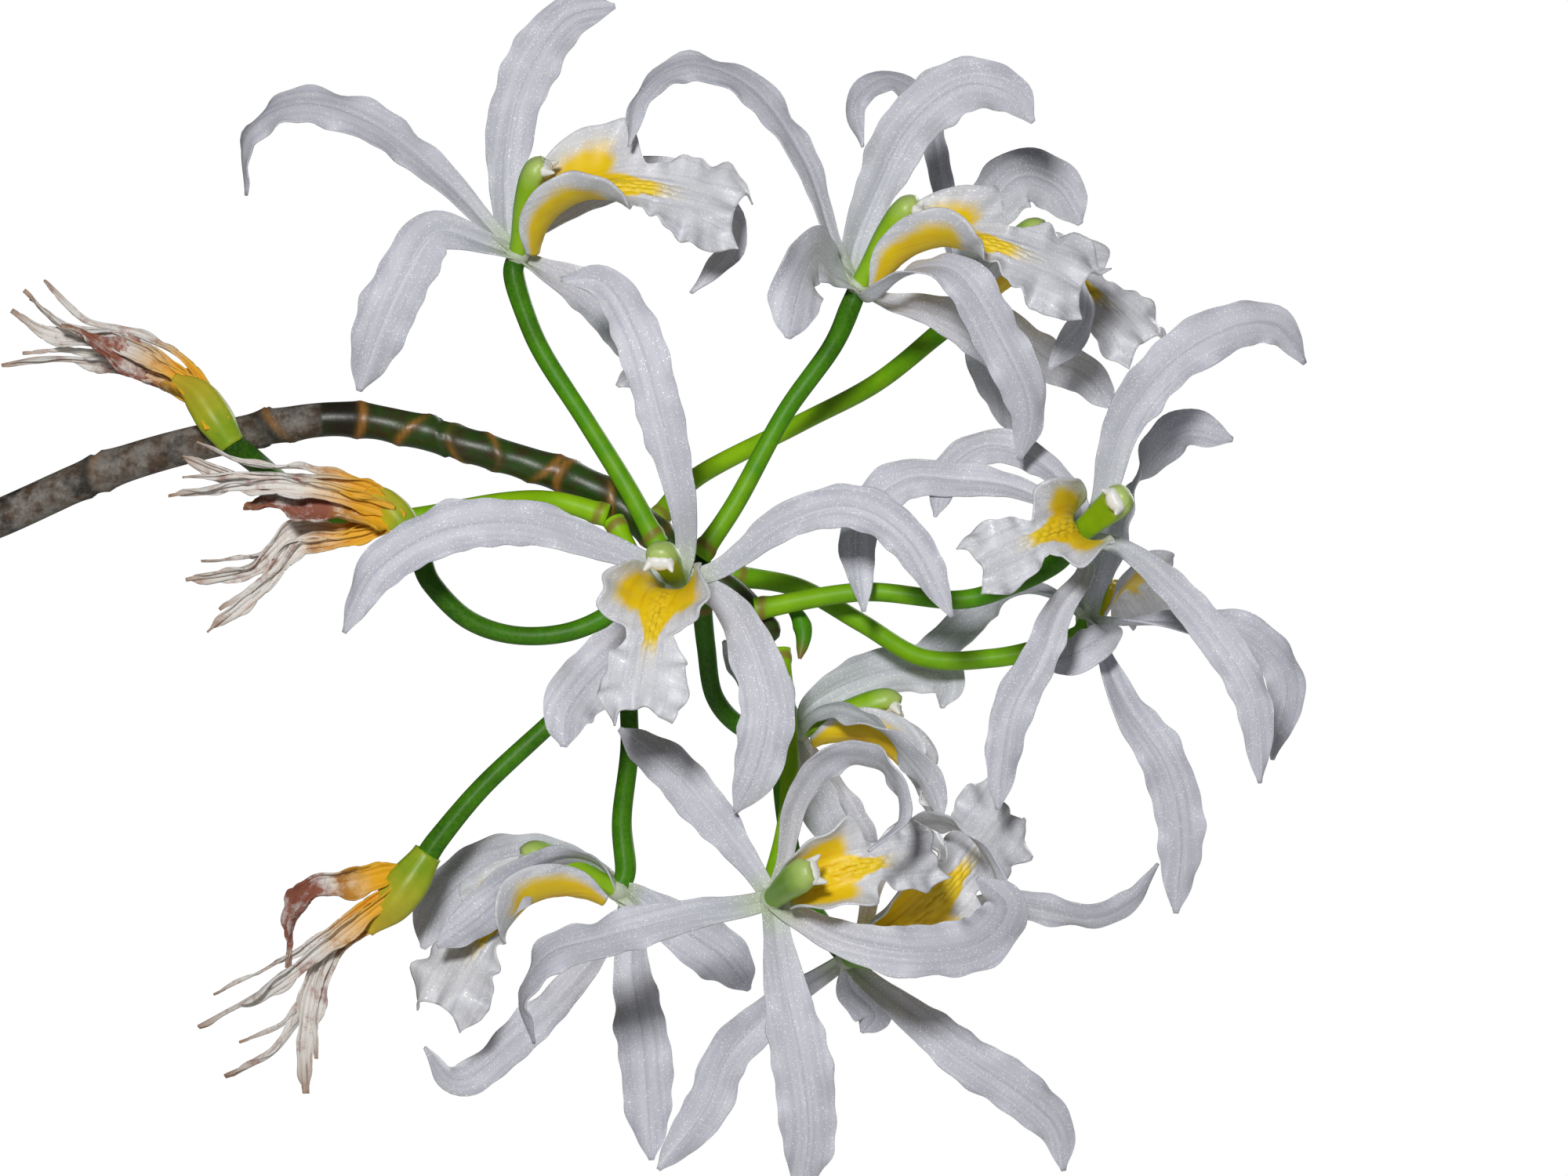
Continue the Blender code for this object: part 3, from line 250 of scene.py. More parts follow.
# ------------------------------------------------------------------------------------------------
# The bark: coarse chips of conifer bark, broken flat along their layers and poured in round the roots.
# Under the loose chips a darker bed of the same bark fills the pot.

bark_low, bark_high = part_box("bark")
CHIP_LENGTH = (10 * MM, 21 * MM)
CHIP_COUNT = 360
BED_DROP, BED_INSET = 7 * MM, 3 * MM
CHIP_INSET = 3 * MM
CHIP_EDGE = 0.5 * MM
CHIP_CLEARANCE = 16 * MM
CHIP_SHARP = 30
CHIP_SLOPE = 0.26
MOUND = 2.5 * MM
GROWTHS = [((0, 0), 1.0, 0.0), ((-27, 22), 0.88, -7.0), ((-34, -24), 0.78, -11.0)]
dice = random.Random(41)
# Blender's noise vectors start from the time of day unless they are given a seed.
noise.seed_set(41)

# Bark: dry, matt and layered. Each chip has its own brown, from fox red on a fresh break to grey.
bark_chip, tree, shader = new_finish("conifer_bark_broken")
place = add(tree, "TexCoord", {}, "Object")
tone = add(tree, "Attribute", {}, "Fac", attribute_name="chip_tone")
grain = add(tree, "TexNoise", {"Vector": place, "Scale": 1 / (3 * MM), "Detail": 5, "Roughness": 0.7})
layers = add(tree, "TexVoronoi", {"Vector": place, "Scale": 1 / (2.2 * MM)}, "Distance")
brown = add(tree, "Mix", {0: tone, 6: linear("5A3B28"), 7: linear("A07858")}, **COLOURS)
dark = add(tree, "MapRange", {"Value": grain, "From Min": 0.3, "From Max": 0.55})
brown = add(tree, "Mix", {0: dark, 6: linear("35231A"), 7: brown}, **COLOURS)
relief = add(tree, "Math", {0: grain, 1: layers}, operation="ADD")
bump = add(tree, "Bump", {"Height": relief, "Strength": 0.8, "Distance": 0.6 * MM})
plug(shader, {"Base Color": brown, "Roughness": 0.9, "Normal": bump})

bed_top = bark_high.z - BED_DROP
bed_radius = bark_high.x - BED_INSET
bed_shape = bmesh.new()
bmesh.ops.create_cone(bed_shape, cap_ends=True, segments=72, radius1=inner_foot - MM, radius2=bed_radius,
                      depth=bed_top - bark_low.z,
                      matrix=Matrix.Translation((0, 0, (bed_top + bark_low.z) / 2)))
settle(show("bark_bed", as_mesh("bark_bed", bed_shape)), bark_chip, "bark_mix", "bark")

chip_shape = bmesh.new()
bmesh.ops.create_cube(chip_shape, size=1)
bmesh.ops.subdivide_edges(chip_shape, edges=chip_shape.edges[:], cuts=2, use_grid_fill=True)
chip_mesh = as_mesh("bark_chip", chip_shape)
heap = bmesh.new()
tone_layer = heap.verts.layers.float.new("chip_tone")
for number in range(CHIP_COUNT):
    share = number / CHIP_COUNT
    spread = math.sqrt(dice.random()) * (bed_radius - CHIP_INSET)
    bearing = dice.uniform(0, math.tau)
    spot = Vector((spread * math.cos(bearing), spread * math.sin(bearing), 0))
    long = dice.uniform(*CHIP_LENGTH)
    size = Vector((long, long * dice.uniform(0.5, 0.8), long * dice.uniform(0.22, 0.36))) * 1.3
    tipped = Matrix.Rotation(dice.uniform(0, math.tau), 4, "Z")
    tipped = tipped @ Matrix.Rotation(dice.gauss(0, CHIP_SLOPE), 4, "X")
    shade = dice.random()
    nearest = min((spot - Vector((x, y, 0)) * MM).length for (x, y), _, _ in GROWTHS)
    if nearest < CHIP_CLEARANCE and share > 0.45:
        continue
    mound = MOUND * (1 - (spread / bed_radius) ** 2)
    spot.z = bed_top + share * (BED_DROP - 2 * MM) + mound - size.z * 0.3
    seed = Vector((number * 3.1, number * 1.7, number * 0.9))
    start = len(heap.verts)
    heap.from_mesh(chip_mesh)
    heap.verts.ensure_lookup_table()
    for vertex in heap.verts[start:]:
        corner = vertex.co.copy()
        point = corner.normalized() * (0.2 + 0.42 * corner.length)
        point *= 1 + 0.55 * noise.noise(corner * 1.7 + seed)
        point = Vector((point.x * size.x, point.y * size.y, point.z * size.z))
        point += noise.noise_vector(point / (4 * MM) + seed) * CHIP_EDGE
        vertex.co = spot + tipped @ point
        vertex[tone_layer] = shade
heap_mesh = as_mesh("bark_chips", heap)
heap_mesh.shade_smooth()
heap_mesh.set_sharp_from_angle(angle=math.radians(CHIP_SHARP))
settle(show("bark_chips", heap_mesh), bark_chip, "bark_mix")


# ------------------------------------------------------------------------------------------------
# The growths: a woody rhizome creeps over the bark, and each year's growth stands on it as a pseudobulb,
# a flattened storage stem of solid green tissue, furrowed with age, with dry bracts round its foot.

BULB_HEIGHT = 172 * MM
BULB_RADIUS = 21 * MM
BULB_FLATTEN = 0.72
BULB_PROFILE = [(0, 0.62), (0.12, 0.9), (0.32, 1.0), (0.56, 0.92), (0.8, 0.7), (0.94, 0.56), (1, 0.47)]
BULB_FURROWS = 12
RHIZOME_ROUTE = [(-36, -28, -3), (-40, -8, 1), (-34, 10, 1), (-26, 22, 1), (-12, 15, 1), (3, -2, -2)]
RHIZOME_RADIUS = 4.6 * MM
RHIZOME_JOINT = 7 * MM
bark_top = bark_high.z


def eased(stations, share, ease=0.04):
    """The value at each share of a list of (share, value) stations, with their corners rounded."""
    at, values = zip(*stations)
    shifts = np.linspace(-ease, ease, 9)
    return np.mean([np.interp(share + shift, at, values) for shift in shifts], axis=0)


def smooth_path(points, count, fine=16):
    """count points, evenly spaced along a smooth curve through the given ones."""
    route = np.array([tuple(point) for point in points], float)
    ends = np.vstack([2 * route[0] - route[1], route, 2 * route[-1] - route[-2]])
    t = (np.arange(fine) / fine)[:, None]
    curve = [
        0.5 * (2 * b + (c - a) * t + (2 * a - 5 * b + 4 * c - d) * t**2 + (3 * b - a - 3 * c + d) * t**3)
        for a, b, c, d in zip(ends, ends[1:], ends[2:], ends[3:])
    ]
    curve = np.vstack([*curve, route[-1:]])
    run = np.append(0, np.cumsum(np.linalg.norm(np.diff(curve, axis=0), axis=1)))
    goal = np.linspace(0, run[-1], count)
    return np.stack([np.interp(goal, run, curve[:, k]) for k in range(3)], axis=1)


def run_length(path):
    """How long a path is."""
    return float(np.linalg.norm(np.diff(path, axis=0), axis=1).sum())


def unit(vectors):
    """Each vector at length one."""
    vectors = np.array(vectors, float)
    return vectors / np.maximum(np.linalg.norm(vectors, axis=-1, keepdims=True), 1e-12)


def around(count):
    """Angles evenly spaced round a ring."""
    return np.linspace(0, math.tau, count, endpoint=False)


def path_frames(path, start, pull=(0, 0, 0), strength=0.0):
    """The tangents, sides and normals of a path. The normal is carried on from start, and each step draws
    it a little towards pull."""
    tangents = unit(np.gradient(path, axis=0))
    normal = np.array(start, float)
    normals = []
    for tangent in tangents:
        wanted = unit(normal - normal.dot(tangent) * tangent)
        drawn = np.array(pull, float)
        normal = unit(wanted + strength * (drawn - drawn.dot(tangent) * tangent))
        normals.append(normal)
    normals = np.array(normals)
    return tangents, np.cross(tangents, normals), normals


def over_rings(value, rings, sides):
    """A value for every point of a tube: from one number, one for each ring, or one for each point."""
    value = np.array(value, float)
    return np.broadcast_to(value[:, None] if value.ndim == 1 else value, (rings, sides))


def tube(path, radii, sides, start=(0.31, 0.17, 0.93), **values):
    """A closed tube along a path, its radii given as over_rings takes them."""
    _, side, normal = path_frames(path, start)
    turn = around(sides)
    out = np.cos(turn)[None, :, None] * normal[:, None] + np.sin(turn)[None, :, None] * side[:, None]
    radii = over_rings(radii, len(path), sides)
    points = path[:, None] + out * radii[..., None]
    steps = [(k, (k + 1) % sides) for k in range(sides)]
    faces = [
        (start + k, start + after, start + sides + after, start + sides + k)
        for start in range(0, (len(path) - 1) * sides, sides)
        for k, after in steps
    ]
    faces += [tuple(range(sides))[::-1], tuple((len(path) - 1) * sides + k for k in range(sides))]
    shape = {"points": points.reshape(-1, 3), "faces": faces}
    for name, value in values.items():
        shape[name] = over_rings(value, len(path), sides).ravel()
    return shape


def sheet(middle, thickness, **values):
    """A closed sheet about a grid of points. Values are numbers or vectors that spread over the grid."""
    rows, columns, _ = middle.shape
    up = unit(np.cross(np.gradient(middle, axis=1), np.gradient(middle, axis=0)))
    half = np.broadcast_to(thickness, (rows, columns))[..., None] / 2
    back = rows * columns
    faces = []
    for i in range(rows - 1):
        for j in range(columns - 1):
            a, b = i * columns + j, (i + 1) * columns + j
            faces += [(a, a + 1, b + 1, b), (b + back, b + 1 + back, a + 1 + back, a + back)]
    edge = list(range(columns - 1))
    edge += [i * columns + columns - 1 for i in range(rows - 1)]
    edge += [(rows - 1) * columns + j for j in range(columns - 1, 0, -1)]
    edge += [i * columns for i in range(rows - 1, 0, -1)]
    faces += [(a, a + back, b + back, b) for a, b in zip(edge, edge[1:] + edge[:1])]
    points = np.vstack([(middle + up * half).reshape(-1, 3), (middle - up * half).reshape(-1, 3)])
    shape = {"points": points, "faces": faces}
    for name, value in values.items():
        value = np.array(value, float)
        width = (3,) if value.ndim == 3 else ()
        flat = np.broadcast_to(value, (rows, columns, *width)).reshape(rows * columns, *width)
        shape[name] = np.concatenate([flat, flat])
    return shape


def woven(across, along, piece):
    """Places on a sheet for the patterns that follow its grain: across it, along it, and which piece."""
    return np.stack(np.broadcast_arrays(across, along, piece), axis=2)


def joined(name, shapes):
    """One mesh from several shapes, with their values as named attributes of its points."""
    starts = np.cumsum([0] + [len(shape["points"]) for shape in shapes])
    faces = [
        [int(i + start) for i in face] for start, shape in zip(starts, shapes) for face in shape["faces"]]
    mesh = bpy.data.meshes.new(name)
    mesh.from_pydata(np.vstack([shape["points"] for shape in shapes]).tolist(), [], faces)
    for key in [key for key in shapes[0] if key not in ("points", "faces")]:
        values = np.concatenate([shape[key] for shape in shapes])
        kind, field = ("FLOAT_VECTOR", "vector") if values.ndim == 2 else ("FLOAT", "value")
        mesh.attributes.new(key, kind, "POINT").data.foreach_set(field, values.astype(np.float32).ravel())
    mesh.shade_smooth()
    return mesh


def grown(name, shapes, finish, slot, *nodes):
    """Joins the shapes of one piece and settles it in its place."""
    settle(show(name, joined(name, shapes)), finish, slot, *nodes)


def moved(shape, matrix):
    """The shape with its points taken through a matrix."""
    turn, shift = np.array(matrix.to_3x3()), np.array(matrix.translation)
    shape["points"] = shape["points"] @ turn.T + shift
    return shape


def growth_matrix(spot, lean):
    """Where a growth stands on the bark: its foot, tipped outwards about Y."""
    lift = 0.4 * MM + abs(math.sin(math.radians(lean))) * BULB_RADIUS * BULB_PROFILE[0][1]
    stand = Matrix.Translation((spot[0] * MM, spot[1] * MM, bark_top + lift))
    return stand @ Matrix.Rotation(math.radians(lean), 4, "Y")


# Living green tissue: a waxy, satin skin, yellower on the ridges and dark green down in the furrows, which
# is painted shade, with a purple-brown flush where the sun reaches it and corky specks on the older parts.
bulb_skin, tree, shader = new_finish("pseudobulb_skin_waxy")
place = add(tree, "TexCoord", {}, "Object")
ridge, reach, age = (
    add(tree, "Attribute", {}, "Fac", attribute_name=key) for key in ("ridge", "reach", "age"))
cloud = add(tree, "TexNoise", {"Vector": place, "Scale": 1 / (26 * MM), "Detail": 4})
fibre_place = add(tree, "Mapping", {"Vector": place, "Scale": (1.0, 1.0, 0.08)})
fibre = add(tree, "TexNoise", {"Vector": fibre_place, "Scale": 1 / (1.1 * MM), "Detail": 3})
speck = add(tree, "TexNoise", {"Vector": place, "Scale": 1 / (1.6 * MM), "Detail": 2})
# Dark green in the furrows, yellow-green on the ridges: the furrows' dark is painted shade.
green = add(tree, "Mix", {0: ridge, 6: linear("4C6A26"), 7: linear("8FA848")}, **COLOURS)
green = add(tree, "Mix", {0: fibre, 6: green, 7: linear("6E8C38")}, **COLOURS)
green = coated(tree, green, (cloud, 0.52, 0.75, 0, 0.45, "6F5636"))
old = add(tree, "Math", {0: age, 1: 0.55}, operation="MULTIPLY")
green = add(tree, "Mix", {0: old, 6: green, 7: linear("8F8A4A")}, **COLOURS)
green = coated(
    tree, green,
    (speck, 0.68, 0.72, 0, 0.7, "8C7650"),  # corky specks
    (reach, 0.9, 1, 0, 0.5, "A9B86A"),  # a paler top
)
sheen = add(tree, "MapRange", {"Value": cloud, "To Min": 0.36, "To Max": 0.6})
bump = add(tree, "Bump", {"Height": fibre, "Strength": 0.35, "Distance": 0.2 * MM})
plug(shader, {"Base Color": green, "Roughness": sheen, "Normal": bump})

# Dry bract: tissue-thin, fibrous and straw coloured, greyer and blotched where it has weathered.
dry_bract, tree, shader = new_finish("dry_bract_papery")
fibres = add(tree, "Attribute", {}, "Vector", attribute_name="weave")
shredded = add(tree, "Mapping", {"Vector": fibres, "Scale": (0.9, 0.05, 1.0)})
fibre = add(tree, "TexNoise", {"Vector": shredded, "Scale": 1.0, "Detail": 4, "Roughness": 0.6})
blotch = add(tree, "TexNoise", {"Vector": fibres, "Scale": 1 / 9, "Detail": 5, "Roughness": 0.65})
straw = add(tree, "Mix", {0: fibre, 6: linear("A98E66"), 7: linear("E2D2B0")}, **COLOURS)
straw = coated(tree, straw, (blotch, 0.54, 0.7, 0, 0.8, "6B5643"))
bump = add(tree, "Bump", {"Height": fibre, "Strength": 0.7, "Distance": 0.25 * MM})
plug(shader, {"Base Color": straw, "Roughness": 0.82, "Normal": bump})

for number, (spot, size, lean) in enumerate(GROWTHS, 1):
    stand = growth_matrix(spot, lean) @ Matrix.Diagonal((1, BULB_FLATTEN, 1, 1))
    height, age = BULB_HEIGHT * size, (number - 1) / 2
    share = np.linspace(0, 1, 70)
    turn = around(96)
    girth = BULB_RADIUS * eased(BULB_PROFILE, share)
    girth[-3:] *= (0.97, 0.86, 0.5)
    wander = 0.35 * np.sin(5 * share + number)[:, None]
    ridge = np.abs(np.cos(BULB_FURROWS / 2 * (turn[None] + wander))) ** 0.7
    depth = (0.06 + 0.05 * age) * np.sin(np.pi * np.clip(share * 1.05, 0, 1)) ** 0.5
    uneven = 1 + 0.02 * np.sin(2 * turn[None] + 7 * share[:, None] + 2 * number)
    radii = girth[:, None] * (1 - depth[:, None] * (1 - ridge)) * uneven
    path = np.stack([0 * share, 0 * share, height * share], axis=1)
    bulb = tube(path, radii, len(turn), (1, 0, 0), ridge=ridge, reach=share, age=age)
    grown(f"storage_bulb_{number}", [moved(bulb, stand)], bulb_skin, "bulb_green", f"pseudobulb_{number}")

    wraps = []
    for layer in range(2):
        dice = random.Random(100 * number + layer)
        tall = height * (0.34 - 0.12 * layer) * (1 + 0.25 * age)
        wrap_turn = np.linspace(-2.5, 2.5, 64) + 2.4 * layer + number
        up = np.linspace(0.012, 1, 22)
        torn = [dice.uniform(0, 9) for _ in range(3)]
        ragged = 0.72 + 0.2 * np.sin(3 * wrap_turn + torn[0]) + 0.08 * np.sin(11 * wrap_turn + torn[1])
        rise = tall * up[:, None] * ragged[None]
        wide = BULB_RADIUS * eased(BULB_PROFILE, rise / height) * (1.035 + 0.02 * layer)
        wide += (0.6 + 2.2 * up[:, None] ** 4) * MM * (1 + 0.6 * np.sin(5 * wrap_turn + torn[2]))[None]
        middle = np.stack([wide * np.cos(wrap_turn), wide * np.sin(wrap_turn), rise], axis=2)
        weave = woven(wrap_turn * 18, rise / MM, number + layer)
        wraps.append(moved(sheet(middle, 0.4 * MM, weave=weave), stand))
    grown(f"bulb_bracts_{number}", wraps, dry_bract, "dry_sheath")

path = smooth_path([Vector((x * MM, y * MM, bark_top + z * MM)) for x, y, z in RHIZOME_ROUTE], 120)
run = np.linspace(0, run_length(path), len(path))
joint = np.abs(np.sin(np.pi * run / RHIZOME_JOINT)) ** 0.35
radii = RHIZOME_RADIUS * (0.8 + 0.2 * joint)
radii[[0, -1]] *= 0.4
rhizome = tube(path, radii, 22, ridge=joint * 0.4, reach=0.5, age=1.0)
grown("rhizome", [rhizome], bulb_skin, "bulb_green")


# ------------------------------------------------------------------------------------------------
# The leaves: two or so on each growth, thick leathery straps that clasp the bulb's top, folded along the
# midrib at their foot and opening into a shallow channel. They are living tissue, firm enough to arch.

# Each leaf: its growth, and its route in mm from that growth's top, with its width in mm.
LEAVES = [
    (0, [(-10, 0, 0.7), (-21, -6, 40), (-48, -16, 96), (-92, -30, 146), (-146, -46, 166)], 46),
    (0, [(10.6, 0, 0.7), (20.5, 10, 42), (40, 28, 96), (74, 52, 140), (118, 78, 154)], 44),
    (1, [(1, 4, 0.8), (-8, 22, 44), (-28, 54, 96), (-54, 96, 130), (-88, 142, 136)], 44),
    (1, [(-6, -3, 0.8), (-28, -5, 42), (-72, 8, 84), (-124, 24, 104), (-176, 42, 92)], 42),
    (2, [(-2, -1, 0.8), (-16, -20, 44), (-40, -54, 90), (-76, -90, 114), (-118, -126, 104)], 43),
]
LEAF_PROFILE = [(0, 0.24), (0.14, 0.5), (0.36, 0.92), (0.6, 1.0), (0.82, 0.82), (0.93, 0.5), (1, 0.06)]
LEAF_THICK, LEAF_EDGE = 2.6 * MM, 0.9 * MM
LEAF_VEIN = 1.3

# Leaf: leathery and satin, deep green above with fine lines of parallel veins and a paler midrib.
leaf_skin, tree, shader = new_finish("orchid_leaf_leathery")
weave = add(tree, "Attribute", {}, "Vector", attribute_name="weave")
spread, reach = (
    add(tree, "Attribute", {}, "Fac", attribute_name=key) for key in ("spread", "reach"))
vein_place = add(tree, "Mapping", {"Vector": weave, "Scale": (1 / LEAF_VEIN, 0.012, 1.0)})
veins = add(tree, "TexNoise", {"Vector": vein_place, "Scale": 1.0, "Detail": 2})
cloud = add(tree, "TexNoise", {"Vector": weave, "Scale": 1 / 30, "Detail": 5, "Roughness": 0.6})
fleck = add(tree, "TexNoise", {"Vector": weave, "Scale": 1 / 1.4, "Detail": 1})
green = add(tree, "Mix", {0: cloud, 6: linear("2F5A1C"), 7: linear("5C8433")}, **COLOURS)
from_middle = add(tree, "Math", {0: spread}, operation="ABSOLUTE")
green = coated(
    tree, green,
    (veins, 0.4, 0.62, 0, 0.5, "7A9A48"),  # veins
    (from_middle, 0, 0.07, 0.7, 0, "93AE5C"),  # the midrib
    (reach, 0, 0.16, 0.7, 0, "A5B56A"),  # a paler foot
    (fleck, 0.72, 0.76, 0, 0.6, "8D8450"),  # scattered flecks
    (from_middle, 0.955, 1, 0, 0.6, "8A7A3E"),  # a dry edge
)
sheen = add(tree, "MapRange", {"Value": cloud, "To Min": 0.3, "To Max": 0.5})
bump = add(tree, "Bump", {"Height": veins, "Strength": 0.4, "Distance": 0.2 * MM})
plug(shader, {"Base Color": green, "Roughness": sheen, "Normal": bump})

for number, (growth, route, width) in enumerate(LEAVES, 1):
    spot, size, lean = GROWTHS[growth]
    top = growth_matrix(spot, lean) @ Vector((0, 0, BULB_HEIGHT * size + 0.4 * MM))
    path = smooth_path([top + Vector(point) * MM for point in route], 84)
    share = np.linspace(0, 1, len(path))
    across = np.sin(np.linspace(-math.pi / 2, math.pi / 2, 25))
    _, side, normal = path_frames(path, (0, 0, 1), (0, 0, 1), 0.9 / 10)
    half = eased(LEAF_PROFILE, share, 0.03) * width * MM / 2
    fold = eased([(0, 1.15), (0.12, 0.75), (0.4, 0.34), (0.8, 0.22), (1, 0.3)], share)
    keel = np.sqrt(across[None] ** 2 + 0.012) - 0.11
    phase = 1.7 * number
    wave = 0.9 * MM * np.sin(14 * share + phase)[:, None] * np.sign(across)[None] * across[None] ** 2
    rise = half[:, None] * fold[:, None] * keel + wave * np.sin(np.pi * share)[:, None]
    aside = half[:, None] * across[None] / (1 + 0.3 * fold[:, None] ** 2)
    middle = path[:, None] + side[:, None] * aside[..., None] + normal[:, None] * rise[..., None]
    thinning = (1 - np.abs(across[None]) ** 1.6) * (1 - 0.5 * share[:, None])
    weave = woven(half[:, None] * across / MM, share[:, None] * run_length(path) / MM, 9 * number)
    blade = sheet(middle, LEAF_EDGE + (LEAF_THICK - LEAF_EDGE) * thinning,
                  weave=weave, spread=across, reach=share[:, None])
    grown(f"strap_leaf_{number}", [blade], leaf_skin, "leaf_green", f"leaf_{number}")


# ------------------------------------------------------------------------------------------------
# The roots: thick and white, with a spongy skin that drinks from the air. One has grown over the rim and
# down the pot, and the others run over the bark before they turn into it.

AERIAL_ROOT = [
    (-12, -34, 4), (-26, -48, 9), (-32, -54, 22), (-38, -63, 29.5), (-43, -70, 29.5), (-47, -76, 21),
    (-47, -77, 0), (-45, -73, -34),
]
BARK_ROOTS = [
    [(-2, -8, 8), (6, -22, 4), (22, -34, 3), (38, -36, 1), (50, -28, -4)],
    [(8, 4, 8), (22, 14, 4), (30, 30, 3), (24, 46, 0), (12, 54, -6)],
    [(-30, 30, 8), (-36, 42, 4), (-30, 52, 1), (-18, 58, -5)],
    [(-38, -20, 7), (-50, -16, 4), (-58, -4, 1), (-58, 10, -5)],
    [(2, -6, 7), (-6, -24, 3), (-4, -44, 2), (6, -56, -3)],
    [(6, 0, 7), (26, -6, 4), (44, 2, 2), (56, 14, -4)],
]
ROOT_RADIUS = 2.0 * MM

# Velamen: a dead, spongy, silver-white skin over the root, chalky and matt, and green at the living tip.
velamen, tree, shader = new_finish("root_velamen_chalky")
place = add(tree, "TexCoord", {}, "Object")
reach = add(tree, "Attribute", {}, "Fac", attribute_name="reach")
mottle = add(tree, "TexNoise", {"Vector": place, "Scale": 1 / (5 * MM), "Detail": 5, "Roughness": 0.7})
pit = add(tree, "TexNoise", {"Vector": place, "Scale": 1 / (0.7 * MM), "Detail": 2})
white = add(tree, "Mix", {0: mottle, 6: linear("A9A792"), 7: linear("DCDBCD")}, **COLOURS)
white = coated(
    tree, white,
    (mottle, 0.36, 0.22, 0, 0.6, "8A7A58"),  # stains
    (reach, 0.93, 0.985, 0, 1, "7E9A4C"),  # the green growing tip
)
bump = add(tree, "Bump", {"Height": pit, "Strength": 0.5, "Distance": 0.25 * MM})
plug(shader, {"Base Color": white, "Roughness": 0.85, "Normal": bump})


def root_shape(route, seed, reach_scale):
    """A root along a route of mm from the bark's top, a little lumpy and rounded at its tip."""
    path = smooth_path([Vector((x * MM, y * MM, bark_top + z * MM)) for x, y, z in route], 90)
    share = np.linspace(0, 1, len(path))
    lumpy = 1 + 0.06 * np.sin(23 * share + seed) + 0.04 * np.sin(51 * share + 2 * seed)
    blunt = np.sqrt(np.clip(1 - ((share - 0.985) / 0.017).clip(0, 1) ** 2, 0.02, 1))
    return tube(path, ROOT_RADIUS * lumpy * blunt, 20, reach=share * reach_scale)


grown("rim_root", [root_shape(AERIAL_ROOT, 1, 1.0)], velamen, "aerial_root", "aerial_root")
roots = [root_shape(route, 3 + number, 0.9) for number, route in enumerate(BARK_ROOTS)]
grown("bark_roots", roots, velamen, "aerial_root")


# ------------------------------------------------------------------------------------------------
# The flower stem: one long woody stalk from the top of the lead bulb, arching over to hold the flower
# head out. Its joints carry dry bracts, silver-grey and mottled low down, and tan scars where they fell.

stem_low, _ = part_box("flower_stem")
STEM_REACH, STEM_FOOT = 0.250, 460
hub = np.array([STEM_REACH, 0.0, stem_low.z + STEM_FOOT * MM])
STEM_ROUTE = [
    (-250, 0, -STEM_FOOT), (-250, 0, -430), (-250.4, 0, -400),
    (-256, 2, -330), (-263, 4, -250), (-266, 6, -180),
    (-262, 8, -120), (-249, 8, -68), (-226, 6, -28), (-198, 3, -3), (-170, 1, 8), (-140, 0, 21),
    (-110, 0, 29), (-80, 0, 33), (-46, 0, 25), (-16, 0, 14), (6, -4, -4), (18, -4, -12), (28, -2, -23),
]
STEM_RADII = [(0, 5.2), (0.3, 4.8), (0.7, 4.6), (0.85, 3.9), (0.93, 4.4), (1, 3.2)]
# The joints in the head: how far across it each is from the hub, and how far each leans, in mm.
HEAD_JOINTS = [
    (-79, 2.0), (-64, -4.0), (-52, 4.5), (-45, -4.0), (-31, 4.0), (-25, -3.0), (-14, 3.5), (-3, -3.0),
]
LOW_JOINT_GAP = 46 * MM
# Where the skin is bare of bracts from, and the dark band before it, across the head from the hub in mm.
BARE_FROM, LAST_SCAR = -88, -82


def in_head(*point):
    """A point of the flower head, given in mm from the hub that the flower stalks leave."""
    return hub + np.array(point) * MM


# Stem skin: under the dry bracts it is waxy and dark green, banded brown, with corky tan scars. The bracts
# are silver-grey paper with brown and black mottling.
stem_skin, tree, shader = new_finish("flower_stem_skin")
place = add(tree, "TexCoord", {}, "Object")
papery, scar, dark_band = (
    add(tree, "Attribute", {}, "Fac", attribute_name=key) for key in ("papery", "scar", "dark_band"))
cloud = add(tree, "TexNoise", {"Vector": place, "Scale": 1 / (11 * MM), "Detail": 5, "Roughness": 0.65})
mottle = add(tree, "TexNoise", {"Vector": place, "Scale": 1 / (5 * MM), "Detail": 6, "Roughness": 0.7})
fibre = add(tree, "TexNoise", {"Vector": place, "Scale": 1 / (1.0 * MM), "Detail": 3})
green = add(tree, "Mix", {0: cloud, 6: linear("142E06"), 7: linear("365812")}, **COLOURS)
green = coated(tree, green, (mottle, 0.46, 0.62, 0, 0.85, "3B2A15"))
grey = add(tree, "Mix", {0: fibre, 6: linear("5C5751"), 7: linear("9A948B")}, **COLOURS)
grey = coated(
    tree, grey,
    (mottle, 0.44, 0.6, 0, 0.9, "4B3520"),  # brown mottling
    (cloud, 0.52, 0.64, 0, 0.88, "1D1814"),  # black mottling
)
skin = add(tree, "Mix", {0: papery, 6: green, 7: grey}, **COLOURS)
skin = add(tree, "Mix", {0: dark_band, 6: skin, 7: linear("1D150E")}, **COLOURS)
cork = add(tree, "Mix", {0: fibre, 6: linear("7E4F1C"), 7: linear("B8823A")}, **COLOURS)
skin = add(tree, "Mix", {0: scar, 6: skin, 7: cork}, **COLOURS)
dull = add(tree, "MapRange", {"Value": papery, "To Min": 0.38, "To Max": 0.75})
bump = add(tree, "Bump", {"Height": mottle, "Strength": 0.5, "Distance": 0.3 * MM})
plug(shader, {"Base Color": skin, "Roughness": dull, "Normal": bump})

